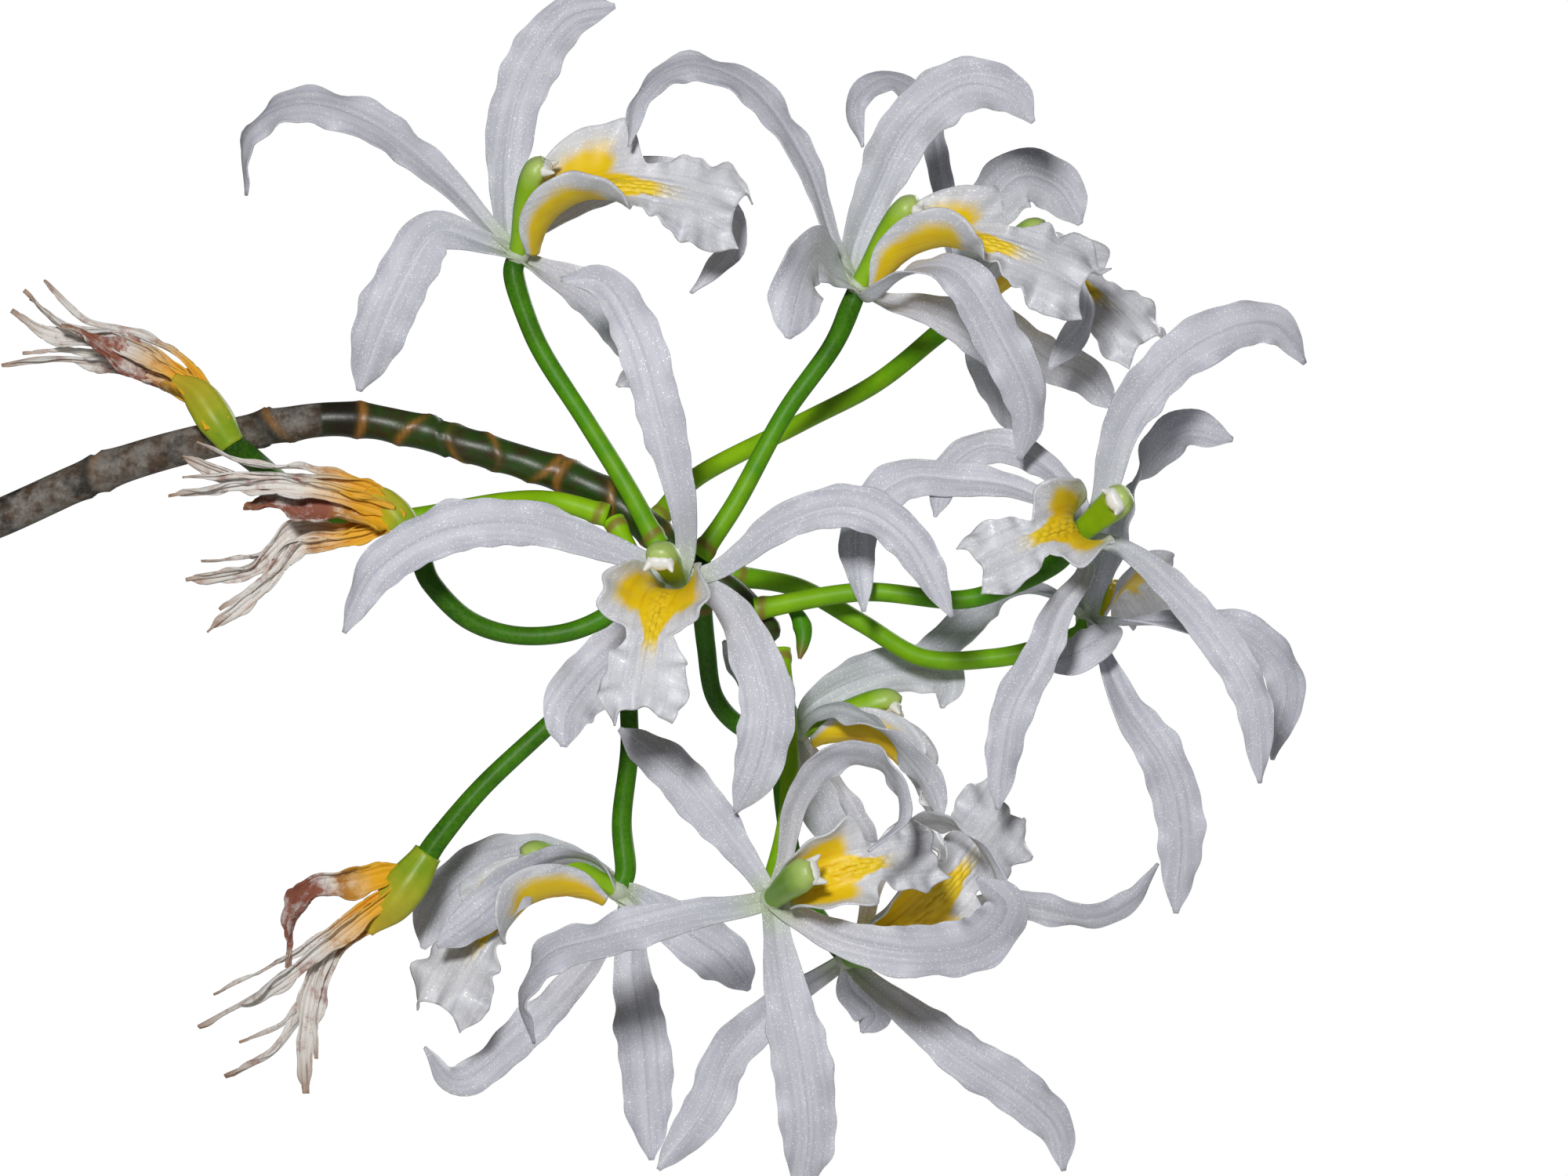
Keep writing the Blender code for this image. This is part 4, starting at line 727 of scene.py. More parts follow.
path = smooth_path([in_head(*point) for point in STEM_ROUTE], 760)
run = np.linspace(0, run_length(path), len(path))
head_x = (path[:, 0] - hub[0]) / MM
after_arch = run > run[-1] * 0.5
in_arch = np.where(after_arch, head_x, np.inf)
joints = [(run[np.argmin(np.abs(in_arch - x))], lean) for x, lean in HEAD_JOINTS]
low_places = np.arange(LOW_JOINT_GAP * 1.7, joints[0][0] - 20 * MM, LOW_JOINT_GAP)
low = [(at, 3.0 * (-1) ** i) for i, at in enumerate(low_places)]
turn = around(40)
radii = np.broadcast_to(eased(STEM_RADII, run / run[-1])[:, None] * MM, (len(path), len(turn))).copy()
scar, dark_band, papery = (np.zeros_like(radii) for _ in range(3))
for number, (at, lean) in enumerate(low + joints):
    offset = run[:, None] - at - lean * MM * np.cos(turn[None] - 1.3 * number) * 0.8
    ring = np.exp(-((offset / (1.0 * MM)) ** 2))
    swell = np.exp(-((offset / (3.6 * MM)) ** 2))
    radii += (0.32 * ring + 0.38 * swell) * MM
    ridge_side = 0.55 + 0.45 * np.cos(turn[None] - 1.3 * number)
    scar = np.maximum(scar, ring * np.clip(1.6 * ridge_side, 0, 1) * (1.0 if number >= len(low) else 0.7))
    if number < len(low):
        # A dry bract clasps the stem from this joint up, and ends in a slanting, slightly lifted edge.
        cover = (offset > 0) & (offset < LOW_JOINT_GAP * 0.93)
        end = np.exp(-(((offset - LOW_JOINT_GAP * 0.93) / (2.5 * MM)) ** 2))
        radii += np.where(cover, 0.3 + 0.35 * end, 0) * MM
        papery = np.maximum(papery, cover)
        dark_band = np.maximum(dark_band, 0.8 * np.exp(-(((offset + 2.5 * MM) / (1.8 * MM)) ** 2)))
papery = np.where((after_arch & (head_x > BARE_FROM))[:, None], 0.0, np.maximum(papery, 0.85))
last_scar = after_arch * np.exp(-(((head_x - LAST_SCAR) / 7.0) ** 4))
dark_band = np.maximum(dark_band, last_scar[:, None] * 0.9)
radii[-3:] *= np.array([0.9, 0.7, 0.35])[:, None]
stem = tube(path, radii, len(turn), (0, 1, 0), papery=papery, scar=scar, dark_band=dark_band)
grown("arching_stem", [stem], stem_skin, "stem_skin", "flower_stem")

SHEATH_HEIGHT, SHEATH_LIFT = 58, 8
turn = np.linspace(0, math.tau, 73)
up = np.linspace(0, 1, 34)
ragged = 0.9 + 0.07 * np.sin(2 * turn + 1) + 0.03 * np.sin(9 * turn)
ragged[-1] = ragged[0]
rise = SHEATH_HEIGHT * up[:, None] * ragged[None]
pleat = 0.28 * np.sin(14 * turn)[None] * (0.4 + 0.6 * up[:, None])
wide = 6.1 + 1.3 * up[:, None] ** 3 + pleat + 0.5 * np.sin(2 * turn)[None] * up[:, None] ** 2
foot = in_head(STEM_ROUTE[0][0], 0, SHEATH_LIFT - STEM_FOOT)
middle = foot + np.stack([wide * np.cos(turn), wide * np.sin(turn), rise], axis=2) * MM
sheath = sheet(middle, 0.5 * MM, weave=woven(turn * 6, rise, 40))
grown("stem_foot_sheath", [sheath], dry_bract, "dry_sheath", "stem_sheath")


# ------------------------------------------------------------------------------------------------
# The flower stalks: each flower's own smooth green stalk, its upper end the ovary, a little thicker and
# faintly ribbed. They spring from the stem all round the hub, each out of a small tan collar.

STALK_RADIUS = 2.6 * MM
STALK_ROOTED = 2.5 * MM
STALK_RIBS = 6
STALK_GIRTH = [(0, 1.18), (0.07, 0.98), (0.5, 0.9), (0.78, 1.0), (0.93, 1.12)]
COLLAR = 1.1 * MM

# Each stalk's route in mm from the hub, then how dark its stem end, middle and flower end are. That darkness
# is partly the stalk's own green and partly painted light and shade: lime where the stalk is lit, deep green
# where it is in shadow.
STALKS = {
    "flower_top_left":
        ([(-3, -9, 3), (-10, -9, 16), (-20, -6, 32), (-31, -3, 49), (-36, -1, 60), (-39, 1, 70),
          (-38, 0, 75)], (0.25, 0.45, 0.85)),
    "flower_top_right":
        ([(10, -6, 0), (18, -6, 12), (30, -5, 34), (42, -3, 51), (47, 1, 62),
          (49, 0, 67)], (0.2, 0.45, 0.9)),
    "flower_back_right":
        ([(-2, 5, 8), (8, 14, 19), (34, 28, 33), (54, 42, 44), (70, 54, 57), (79, 57, 65),
          (81, 55, 69)], (0.0, 0.1, 0.5)),
    "flower_right_front":
        ([(25, -8, -15), (50, -7, -11), (74, -10, -13), (88, -12, -9), (98, -13, -4), (102, -19, 1),
          (103, -25, 2)], (0.1, 0.35, 0.8)),
    "flower_right_back":
        ([(18, 1, -7), (34, 6, -10), (50, 8, -19), (66, 9, -28), (84, 9, -28), (98, 8, -25),
          (106, 8, -22), (108, 10, -18)], (0.25, 0.2, 0.3)),
    "flower_centre":
        ([(-12, -8, 5), (-8, -12, -2), (0, -20, -7), (4, -27, -8), (5, -33, -8),
          (4, -38, -8)], (0.0, 0.1, 0.3)),
    "flower_bottom_front":
        ([(29, -9, -28), (31, -14, -46), (31, -22, -66), (28, -32, -80), (26, -39, -85),
          (27, -45, -86)], (0.0, 0.05, 0.3)),
    "flower_bottom_back":
        ([(28, 4, -28), (29, 5, -46), (30, 6, -66), (34, 6, -86), (42, 1, -99),
          (46, -4, -104)], (0.3, 0.6, 0.8)),
    "flower_bottom_left":
        ([(-1, 1, -6), (-7, 9, -18), (-10, 14, -34), (-10, 16, -52), (-12, 17, -70), (-11, 16, -83),
          (-13, 15, -88)], (0.9, 0.8, 0.6)),
    "flower_mid_right":
        ([(9, 1, -14), (10, 8, -25), (12, 16, -38), (19, 20, -46), (29, 19, -48),
          (34, 17, -47)], (0.7, 0.8, 0.7)),
    "spent_flower_upper":
        ([(-17, -7, 9), (-28, -6, 12), (-42, 2, 12), (-68, 9, 8), (-86, 6, 8), (-97, -2, 16),
          (-105, -10, 23), (-110, -13, 27)], (0.0, 0.15, 1.0)),
    "spent_flower_middle":
        ([(-5, -5, -6), (-12, -5, -15), (-24, -5, -21), (-38, -6, -22), (-50, -8, -18), (-59, -10, -9),
          (-62, -10, -2), (-65, -10, 4)], (0.5, 0.75, 0.9)),
    "spent_flower_lower":
        ([(3, -3, -10), (-6, -2, -20), (-16, -2, -32), (-30, -6, -45), (-46, -9, -60), (-57, -10, -73),
          (-61, -10, -79)], (0.8, 0.7, 0.7)),
}

# Stalk: smooth, turgid green tissue with a waxy shine, from lime to deep green. How dark each stalk is along
# it is partly its own green and partly painted light and shade: lime where it is lit and deep green where it
# is shaded.
stalk_skin, tree, shader = new_finish("flower_stalk_waxy")
place = add(tree, "TexCoord", {}, "Object")
deep, collar = (
    add(tree, "Attribute", {}, "Fac", attribute_name=key) for key in ("deep", "collar"))
cloud = add(tree, "TexNoise", {"Vector": place, "Scale": 1 / (7 * MM), "Detail": 4})
skin_cell = add(tree, "TexNoise", {"Vector": place, "Scale": 1 / (0.8 * MM), "Detail": 2})
varied = add(tree, "MapRange", {"Value": cloud, "To Min": -0.25, "To Max": 0.25})
deep = add(tree, "Math", {0: deep, 1: varied}, operation="ADD", use_clamp=True)
# The ramp from lime to deep green: partly the stalk's own colour, partly painted light and shade.
green = add(tree, "ValToRGB", {"Fac": deep}, "Color")
ramp = green.node.color_ramp
ramp.elements[0].color, ramp.elements[1].color = linear("94C80A"), linear("0F4404")
ramp.elements.new(0.45).color = linear("4C9606")
green = coated(tree, green, (skin_cell, 0.35, 0.75, 0, 0.14, "9CC41E"))
green = add(tree, "Mix", {0: collar, 6: green, 7: linear("8A6A34")}, **COLOURS)
bump = add(tree, "Bump", {"Height": skin_cell, "Strength": 0.25, "Distance": 0.12 * MM})
plug(shader, {"Base Color": green, "Roughness": 0.48, "Specular IOR Level": 0.3, "Normal": bump})

for name, (route, shade) in STALKS.items():
    points = [in_head(*point) for point in route]
    points.insert(0, points[0] - unit(points[1] - points[0]) * STALK_ROOTED)
    path = smooth_path(points, 110)
    run = np.linspace(0, run_length(path), len(path))
    share = run / run[-1]
    turn = around(30)
    spent = name.startswith("spent")
    girth = eased([*STALK_GIRTH, (1, 1.22 if spent else 0.95)], share)
    ribs = 0.055 * (0.5 - 0.5 * np.cos(STALK_RIBS * turn))[None]
    ribs = ribs * np.clip((share - 0.6) / 0.25, 0, 1)[:, None]
    lopsided = run[:, None] - STALK_ROOTED - (0.2 + 0.7 * np.cos(turn[None] + len(name))) * MM
    ring = np.exp(-((lopsided / COLLAR) ** 4))
    radii = STALK_RADIUS * (girth[:, None] * (1 - ribs) + 0.1 * ring)
    # How dark the stalk is, end to end: partly its own green, partly painted shade where it lies in shadow.
    deep = np.interp(share, (0, 0.5, 1), shade)
    stalk = tube(path, radii, len(turn), (0, 1, 0), deep=deep, collar=0.8 * ring)
    grown(f"{name}_stalk", [stalk], stalk_skin, "stalk_green", f"{name}_pedicel")

# The bract at the stem's end: a small green scale, folded to a point that has dried brown.
END_BRACT = [(32, -2, -15), (34, -2, -18), (35, -2, -22), (34, -3, -28)]
path = smooth_path([in_head(*point) for point in END_BRACT], 24)
share = np.linspace(0, 1, len(path))
across = np.linspace(-1, 1, 11)
_, side, normal = path_frames(path, (0, -1, 0))
half = eased([(0, 1.2), (0.4, 2.3), (0.8, 1.2), (1, 0.15)], share, 0.02) * MM
middle = path[:, None] + side[:, None] * (half[:, None] * np.sin(1.3 * across)[None])[..., None]
middle -= normal[:, None] * (half[:, None] * (1 - np.cos(1.3 * across))[None])[..., None]
bract = sheet(middle, 0.6 * MM, deep=0.5, collar=np.clip(3 * share - 1.9, 0, 1)[:, None])
grown("stem_end_bract", [bract], stalk_skin, "stalk_green", "end_bract")


# ------------------------------------------------------------------------------------------------
# The sepals and petals: three sepals and two petals to a flower, grown together at the top of the ovary.
# They are thin, fleshy straps that arch, twist and curl back, channelled at the foot and wavy at the edge.

TEPAL_THICK, TEPAL_EDGE = 1.15 * MM, 0.45 * MM
TEPAL_SET_BACK = 1.4 * MM
TEPAL_PROFILE = [(0, 0.36), (0.15, 0.46), (0.4, 0.85), (0.62, 1.0), (0.82, 0.85), (0.93, 0.52), (1, 0.04)]
TEPAL_CURVE = [(0, 0.75), (0.2, 0.42), (0.5, 0.1), (0.8, -0.18), (1, -0.42)]
TEPAL_ROWS = 64
# The petals turn their faces to the front as they leave the flower: how much of the way at each row.
TOWARDS_EYE, TEPAL_PULL = (0, -1, 0), 1.9 ** (7 / (TEPAL_ROWS - 1)) - 1
TEPAL_WAVE = 23 * MM
MIDRIB = 0.28 * MM
RECEPTACLE = 3.0 * MM
VEIN = 1.15
SPARKLE = 0.52

# Every flower: where its parts meet, in mm from the hub; where its column points; the side its lip is on;
# the lip's size, how far it opens and its twist; and for each sepal and petal its width in mm, its roll in
# degrees at foot and tip, and its route in mm from the hub.
FLOWERS = {
    "flower_top_left": ((-38, 0, 75), (0.22, -0.5, 0.84), (0.97, 0.0, -0.2), (1.0, 0.9, 0.65), [
        (14, (0, 0), [(-41, 4, 82), (-41, 5, 100), (-37, 5, 119), (-26, 1, 135), (-13, -4, 138)]),
        (13, (0, 60), [(-45, 0, 81), (-56, -4, 93), (-74, -10, 107), (-92, -12, 112), (-106, -8, 105),
            (-107, -2, 90)]),
        (15, (0, 0), [(-46, -3, 77), (-58, -7, 80), (-66, -9, 69), (-73, -8, 54), (-78, -5, 40)]),
        (14, (0, 40), [(-32, 3, 71), (-22, 6, 67), (-11, 10, 58), (-7, 12, 48), (-13, 11, 42)]),
        (11, (0, 30), [(-36, 9, 80), (-20, 18, 92), (-3, 20, 97), (11, 18, 91), (16, 14, 79), (6, 10, 66)]),
    ]),
    "flower_top_right": ((49, 0, 67), (0.5, -0.35, 0.8), (0.9, -0.1, -0.4), (0.98, 0.8, 0.8), [
        (15, (0, 0), [(47, 4, 75), (53, 5, 91), (62, 3, 108), (75, 0, 118), (87, -4, 116), (93, -8, 108)]),
        (11, (0, 65), [(42, -2, 78), (35, -6, 98), (22, -8, 116), (6, -10, 122), (-6, -14, 114),
            (-9, -16, 101)]),
        (16, (0, 0), [(42, -8, 70), (38, -18, 74), (34, -26, 66), (31, -30, 52)]),
        (13, (0, 0), [(52, -9, 63), (61, -20, 69), (73, -28, 68), (84, -29, 51), (91, -25, 35),
            (89, -20, 22)]),
        (11, (0, 0), [(56, 6, 63), (68, 8, 61), (81, 8, 54), (92, 6, 44), (95, 4, 34)]),
    ]),
    "flower_back_right": ((81, 55, 69), (0.6, -0.4, 0.65), (0.62, -0.2, -0.72), (0.84, 0.85, 0.7), [
        (16, (0, 0), [(80, 60, 77), (84, 60, 90), (93, 57, 100), (103, 54, 97), (109, 50, 87)]),
        (9, (0, 60), [(75, 60, 80), (72, 62, 100), (68, 64, 120), (58, 62, 127), (49, 58, 120),
            (51, 54, 108)]),
        (11, (0, 40), [(81, 44, 69), (87, 30, 77), (102, 25, 78), (109, 25, 62), (99, 26, 47)]),
        (12, (0, 0), [(89, 60, 62), (100, 60, 52), (111, 58, 47), (118, 56, 38)]),
        (12, (0, 0), [(80, 64, 62), (84, 68, 52), (90, 70, 42), (92, 68, 32)]),
    ]),
    "flower_right_front": ((103, -25, 3), (0.38, -0.85, 0.36), (-0.85, -0.25, -0.4), (0.72, 1.0, 0), [
        (13, (0, 0), [(109, -23, 10), (114, -28, 30), (126, -31, 46), (142, -31, 55), (153, -28, 55),
            (160, -24, 46)]),
        (10, (0, 0), [(114, -25, 0), (124, -34, -8), (136, -42, -22), (145, -44, -38), (147, -40, -58)]),
        (10.5, (0, 0), [(105, -23, -6), (98, -28, -16), (93, -32, -28), (86, -32, -42), (83, -30, -65)]),
        (11, (0, 20), [(101, -19, 8), (88, -14, 15), (74, -12, 17), (60, -13, 17), (49, -15, 6),
            (50, -18, -16)]),
        (10, (0, 20), [(104, -17, 11), (94, -8, 22), (82, -6, 26), (72, -10, 20), (68, -16, 8)]),
    ]),
    "flower_right_back": ((108, 10, -18), (0.2, 0.35, 0.6), (0.35, 0.8, -0.5), (0.8, 0.8, 0), [
        (14, (0, 0), [(109, 5, -10), (114, 3, 4), (121, 3, 19), (132, 3, 30), (145, 5, 28)]),
        (11, (0, 0), [(116, 5, -19), (130, 0, -19), (146, -2, -21), (158, 0, -33), (155, 4, -54)]),
        (13, (0, 0), [(110, 4, -25), (117, 0, -40), (127, -3, -55), (131, -3, -72), (130, 0, -93)]),
        (11, (0, 0), [(112, 2, -21), (110, -6, -23), (103, -10, -27), (95, -10, -29)]),
        (11, (0, 0), [(101, 9, -13), (91, 15, -11), (80, 25, -17), (68, 26, -27), (60, 26, -32)]),
    ]),
    "flower_centre": ((4, -38, -8), (-0.14, -0.93, 0.25), (-0.05, 0.0, -1.0), (0.84, 0.72, 0), [
        (12, (0, 0), [(6, -38, 0), (5, -44, 12), (0, -47, 32), (-6, -46, 52), (-14, -42, 65),
            (-25, -39, 66)]),
        (13, (0, 20), [(0, -35, -6), (-14, -36, 0), (-34, -40, 6), (-54, -43, 4), (-70, -44, -6),
            (-78, -42, -21)]),
        (11, (0, 0), [(15, -38, -5), (30, -45, 6), (46, -49, 10), (60, -50, 2), (71, -48, -17)]),
        (14, (0, 0), [(15, -38, -13), (22, -44, -24), (26, -47, -40), (23, -46, -55), (18, -42, -65)]),
        (16, (0, 0), [(3, -32, -14), (-6, -30, -22), (-16, -34, -31), (-23, -40, -40), (-24, -42, -49)]),
    ]),
    "flower_bottom_front": ((27, -45, -86), (0.3, -0.9, 0.3), (0.85, -0.3, 0.3), (0.69, 0.92, 0), [
        (13, (0, 75), [(20, -46, -88), (6, -52, -90), (-14, -56, -95), (-27, -56, -99), (-34, -53, -110),
            (-31, -49, -121)]),
        (15, (0, 0), [(28, -46, -94), (30, -52, -106), (34, -56, -124), (36, -55, -142), (34, -50, -158)]),
        (12, (0, 0), [(22, -41, -79), (12, -35, -66), (2, -31, -55), (-11, -28, -45)]),
        (9, (0, 30), [(30, -42, -77), (33, -48, -62), (42, -56, -51), (54, -66, -52), (58, -76, -64),
            (50, -84, -72)]),
        (14, (0, 30), [(34, -46, -91), (46, -50, -96), (62, -56, -98), (77, -64, -95), (83, -72, -86),
            (76, -76, -79)]),
    ]),
    "flower_bottom_back": ((46, -4, -104), (0.45, -0.75, 0.1), (0.6, 0.35, 0.75), (0.95, 0.85, 0), [
        (13, (0, 0), [(51, -3, -110), (62, -6, -118), (75, -9, -128), (90, -9, -138), (99, -7, -147),
            (101, -5, -158)]),
        (9, (0, 50), [(54, 3, -101), (72, 6, -94), (90, 4, -91), (108, 0, -94), (119, -3, -89),
            (125, -5, -80)]),
        (10, (0, 40), [(50, -1, -97), (53, -4, -84), (61, -18, -70), (73, -36, -69), (82, -46, -81),
            (80, -46, -102)]),
        (10, (0, 0), [(47, 2, -112), (53, 4, -119), (50, 6, -124)]),
        (12, (0, 0), [(39, 1, -109), (29, 3, -116), (16, 2, -129), (10, 0, -143), (-2, -3, -158)]),
    ]),
    "flower_bottom_left": ((-13, 15, -88), (-0.85, -0.25, 0.4), (-0.45, -0.1, -0.85), (0.92, 0.8, -0.95), [
        (15, (0, 0), [(-19, 20, -84), (-33, 22, -80), (-48, 20, -83), (-59, 16, -92), (-63, 12, -103)]),
        (13, (0, 0), [(-18, 12, -81), (-27, 5, -79), (-38, -2, -85), (-48, -6, -94), (-58, -7, -101)]),
        (14, (0, 0), [(-8, 13, -94), (-9, 11, -108), (-6, 9, -128), (-4, 8, -157)]),
        (15, (0, 0), [(-6, 14, -91), (4, 11, -98), (14, 12, -105), (21, 16, -114)]),
        (11, (0, 30), [(-12, 22, -96), (-22, 26, -110), (-38, 26, -126), (-54, 22, -138), (-63, 17, -129)]),
    ]),
    "flower_mid_right": ((34, 17, -47), (0.85, -0.1, 0.3), (0.3, -0.15, -0.9), (0.85, 0.85, 0), [
        (13, (0, 0), [(36, 22, -41), (46, 24, -35), (60, 24, -31), (72, 21, -33), (71, 17, -41)]),
        (11, (0, 0), [(38, 10, -42), (46, 2, -41), (56, -5, -47), (66, -9, -58), (70, -10, -68)]),
        (11, (0, 0), [(34, 14, -54), (37, 12, -62), (41, 11, -70), (46, 12, -78)]),
        (11, (0, 0), [(36, 23, -53), (42, 28, -63), (50, 30, -78), (53, 29, -93)]),
        (11, (0, 0), [(31, 24, -43), (26, 29, -37), (20, 33, -30), (14, 36, -24)]),
    ]),
}


def painted_frost_glints(tree, weave, first, full, brightest):
    """How strongly each raised cell of a petal's skin glints, which is by its own chance: not at all up to
    first, and brightest from full on. It masks painted glints: painted highlights, mixed into the colour as
    white."""
    cell = {"Vector": weave, "Scale": 1 / SPARKLE}
    near = add(tree, "MapRange", {
        "Value": add(tree, "TexVoronoi", cell, "Distance"),
        "From Min": 0.26, "From Max": 0.4, "To Min": 1.0, "To Max": 0.0,
    })
    some = add(tree, "SeparateColor", {"Color": add(tree, "TexVoronoi", cell, "Color")}, "Red")
    some = add(tree, "MapRange", {"Value": some, "From Min": first, "From Max": full, "To Max": brightest})
    return add(tree, "Math", {0: near, 1: some}, operation="MULTIPLY")


# Petal: white, thin and cool in the light. Its skin is a layer of tiny raised cells, which glint like frost.
# A cell is under a tenth of a millimetre, so the glints are drawn half a millimetre apart, to show. The
# glints
# are painted highlights: white mixed into the colour, where the skin is also made smoother.
petal_skin, tree, shader = new_finish("petal_white_frosted")
weave = add(tree, "Attribute", {}, "Vector", attribute_name="weave")
spread, reach = (
    add(tree, "Attribute", {}, "Fac", attribute_name=key) for key in ("spread", "reach"))
vein_place = add(tree, "Mapping", {"Vector": weave, "Scale": (1 / VEIN, 0.02, 1.0)})
veins = add(tree, "TexNoise", {"Vector": vein_place, "Scale": 1.0, "Detail": 2})
cloud = add(tree, "TexNoise", {"Vector": weave, "Scale": 1 / 11, "Detail": 4})
white = add(tree, "Mix", {0: cloud, 6: linear("CDCED9"), 7: linear("DFE0E7")}, **COLOURS)
from_middle = add(tree, "Math", {0: spread}, operation="ABSOLUTE")
white = coated(
    tree, white,
    (veins, 0.35, 0.65, 0, 0.5, "B0B1BF"),  # veins
    (from_middle, 0, 0.07, 0.45, 0, "A0A2B0"),  # the midrib
    (reach, 0.02, 0.14, 0.6, 0, "B9CC88"),  # a paler foot
)
painted_glint = painted_frost_glints(tree, weave, 0.35, 0.85, 0.85)
# Painted highlights: the glinting cells are mixed to white in the colour.
white = add(tree, "Mix", {0: painted_glint, 6: white, 7: linear("FFFFFF")}, **COLOURS)
frost = add(tree, "MapRange", {"Value": painted_glint, "To Min": 0.55, "To Max": 0.25})
relief = add(tree, "Math", {0: veins, 1: painted_glint}, operation="ADD")
bump = add(tree, "Bump", {"Height": relief, "Strength": 0.35, "Distance": 0.15 * MM})
plug(shader, {
    "Base Color": white, "Roughness": frost, "Subsurface Weight": 0.12,
    "Subsurface Radius": (0.8, 0.8, 1.0), "Subsurface Scale": 1.2 * MM, "Normal": bump,
})


def flower_axes(centre, forward, belly):
    """Where the parts meet, where the column points, and the side of it that the lip is on."""
    forward, belly = unit(forward), np.array(belly, float)
    return in_head(*centre), forward, unit(belly - belly.dot(forward) * forward)


def rolled(side, normal, turn):
    """The sides and normals of a path, turned about it."""
    cos, sin = np.cos(turn)[:, None], np.sin(turn)[:, None]
    return cos * side - sin * normal, cos * normal + sin * side


def rounded_bud(centre, radius, **values):
    """A small ball of tissue, for where the parts of a flower join."""
    ball = bmesh.new()
    bmesh.ops.create_uvsphere(ball, u_segments=20, v_segments=12, radius=radius)
    points = np.array([tuple(vertex.co) for vertex in ball.verts]) + centre
    rings = [[vertex.index for vertex in face.verts] for face in ball.faces]
    ball.free()
    # Each face starts at its lowest point, so that they come in the same order on every run.
    faces = sorted(tuple(ring[ring.index(min(ring)) :] + ring[: ring.index(min(ring))]) for ring in rings)
    spread = {key: np.broadcast_to(value, (len(points), *np.shape(value))) for key, value in values.items()}
    return {"points": points, "faces": faces, **spread}


def strap(path, face, roll, width, seed):
    """One sepal or petal along its path, turned by roll about it, with its own waves at each edge."""
    dice = random.Random(seed)
    _, side, normal = path_frames(path, face, TOWARDS_EYE, TEPAL_PULL)
    share = np.linspace(0, 1, len(path))
    turn = np.radians(roll[0] + (roll[1] - roll[0]) * share) * np.clip(4 * share, 0, 1)
    side, normal = rolled(side, normal, turn)
    long = run_length(path)
    half = eased(TEPAL_PROFILE, share, 0.025) * width / 2
    across = np.sin(np.linspace(-math.pi / 2, math.pi / 2, 17))
    left = across[None] < 0
    beat = share[:, None] * long / TEPAL_WAVE * math.tau
    phases = [dice.uniform(0, math.tau) for _ in range(4)]
    wave = np.where(left, np.sin(beat + phases[0]) + 0.6 * np.sin(2.3 * beat + phases[2]),
                    np.sin(beat * 1.1 + phases[1]) + 0.6 * np.sin(2.1 * beat + phases[3]))
    strength = np.clip((share - 0.12) / 0.3, 0, 1)[:, None]
    channel = eased(TEPAL_CURVE, share)[:, None] * (np.sqrt(across**2 + 0.02) - 0.14)[None]
    lift = half[:, None] * (channel + 0.17 * strength * wave * np.abs(across[None]) ** 2.4)
    groove = MIDRIB * np.exp(-((across / 0.09) ** 2))[None] * np.sin(np.pi * share)[:, None].clip(0) ** 0.5
    notch = np.where(left, np.sin(3.1 * beat + phases[1]), np.sin(2.7 * beat + phases[0]))
    aside = half[:, None] * across[None] * (1 + (0.045 * wave + 0.03 * notch) * strength)
    middle = path[:, None] + side[:, None] * aside[..., None] + normal[:, None] * (lift - groove)[..., None]
    thinning = (1 - across[None] ** 2) * (1 - 0.55 * share[:, None])
    return sheet(middle, TEPAL_EDGE + (TEPAL_THICK - TEPAL_EDGE) * thinning, spread=across,
                 weave=woven(aside / MM, share[:, None] * long / MM, 7.3 * seed % 100), reach=share[:, None])


for number, (name, (*axes, _, tepals)) in enumerate(FLOWERS.items()):
    centre, forward, _ = flower_axes(*axes)
    blades = [rounded_bud(centre, RECEPTACLE, spread=0.5, weave=(0, 0, 0), reach=0.04)]
    for part, (width, roll, route) in enumerate(tepals):
        points = [centre - forward * TEPAL_SET_BACK, *[in_head(*point) for point in route]]
        blades.append(strap(smooth_path(points, TEPAL_ROWS), forward, roll, width * MM, 10 * number + part))
    grown(f"{name}_petals", blades, petal_skin, "petal_white", f"{name}_tepals")


# ------------------------------------------------------------------------------------------------
# The lips: one petal of each flower, shaped to bring a bee to the column. Its sides stand up round the
# column as two lobes, its floor carries toothed yellow keels, and past a narrow waist its front spreads out.

LIP_LENGTH = 60 * MM
LIP_OFFSET, LIP_LIFT = 5.0 * MM, 2.2 * MM
LIP_THICK, LIP_EDGE = 1.1 * MM, 0.45 * MM
LIP_TURN = [(0, 4), (0.12, 16), (0.26, 42), (0.42, 72), (0.6, 90), (1, 108)]
LIP_HALF = [
    (0, 4.5), (0.11, 11), (0.22, 15.5), (0.33, 18.5), (0.43, 18.5),
    (0.53, 11), (0.62, 6.5), (0.75, 11), (0.9, 13.5), (1, 8.5),
]
LIP_ROLL = [
    (0, 1.2), (0.11, 1.75), (0.22, 1.75), (0.33, 1.65), (0.43, 1.35), (0.55, 0.9), (0.7, 0.3), (1, -0.6),
]
# How much of a flower's own twist the lip has taken on by then; the front lobe has it all.
LIP_TWIST = [(0, 0), (0.38, 0.05), (0.6, 0.75), (1, 1)]
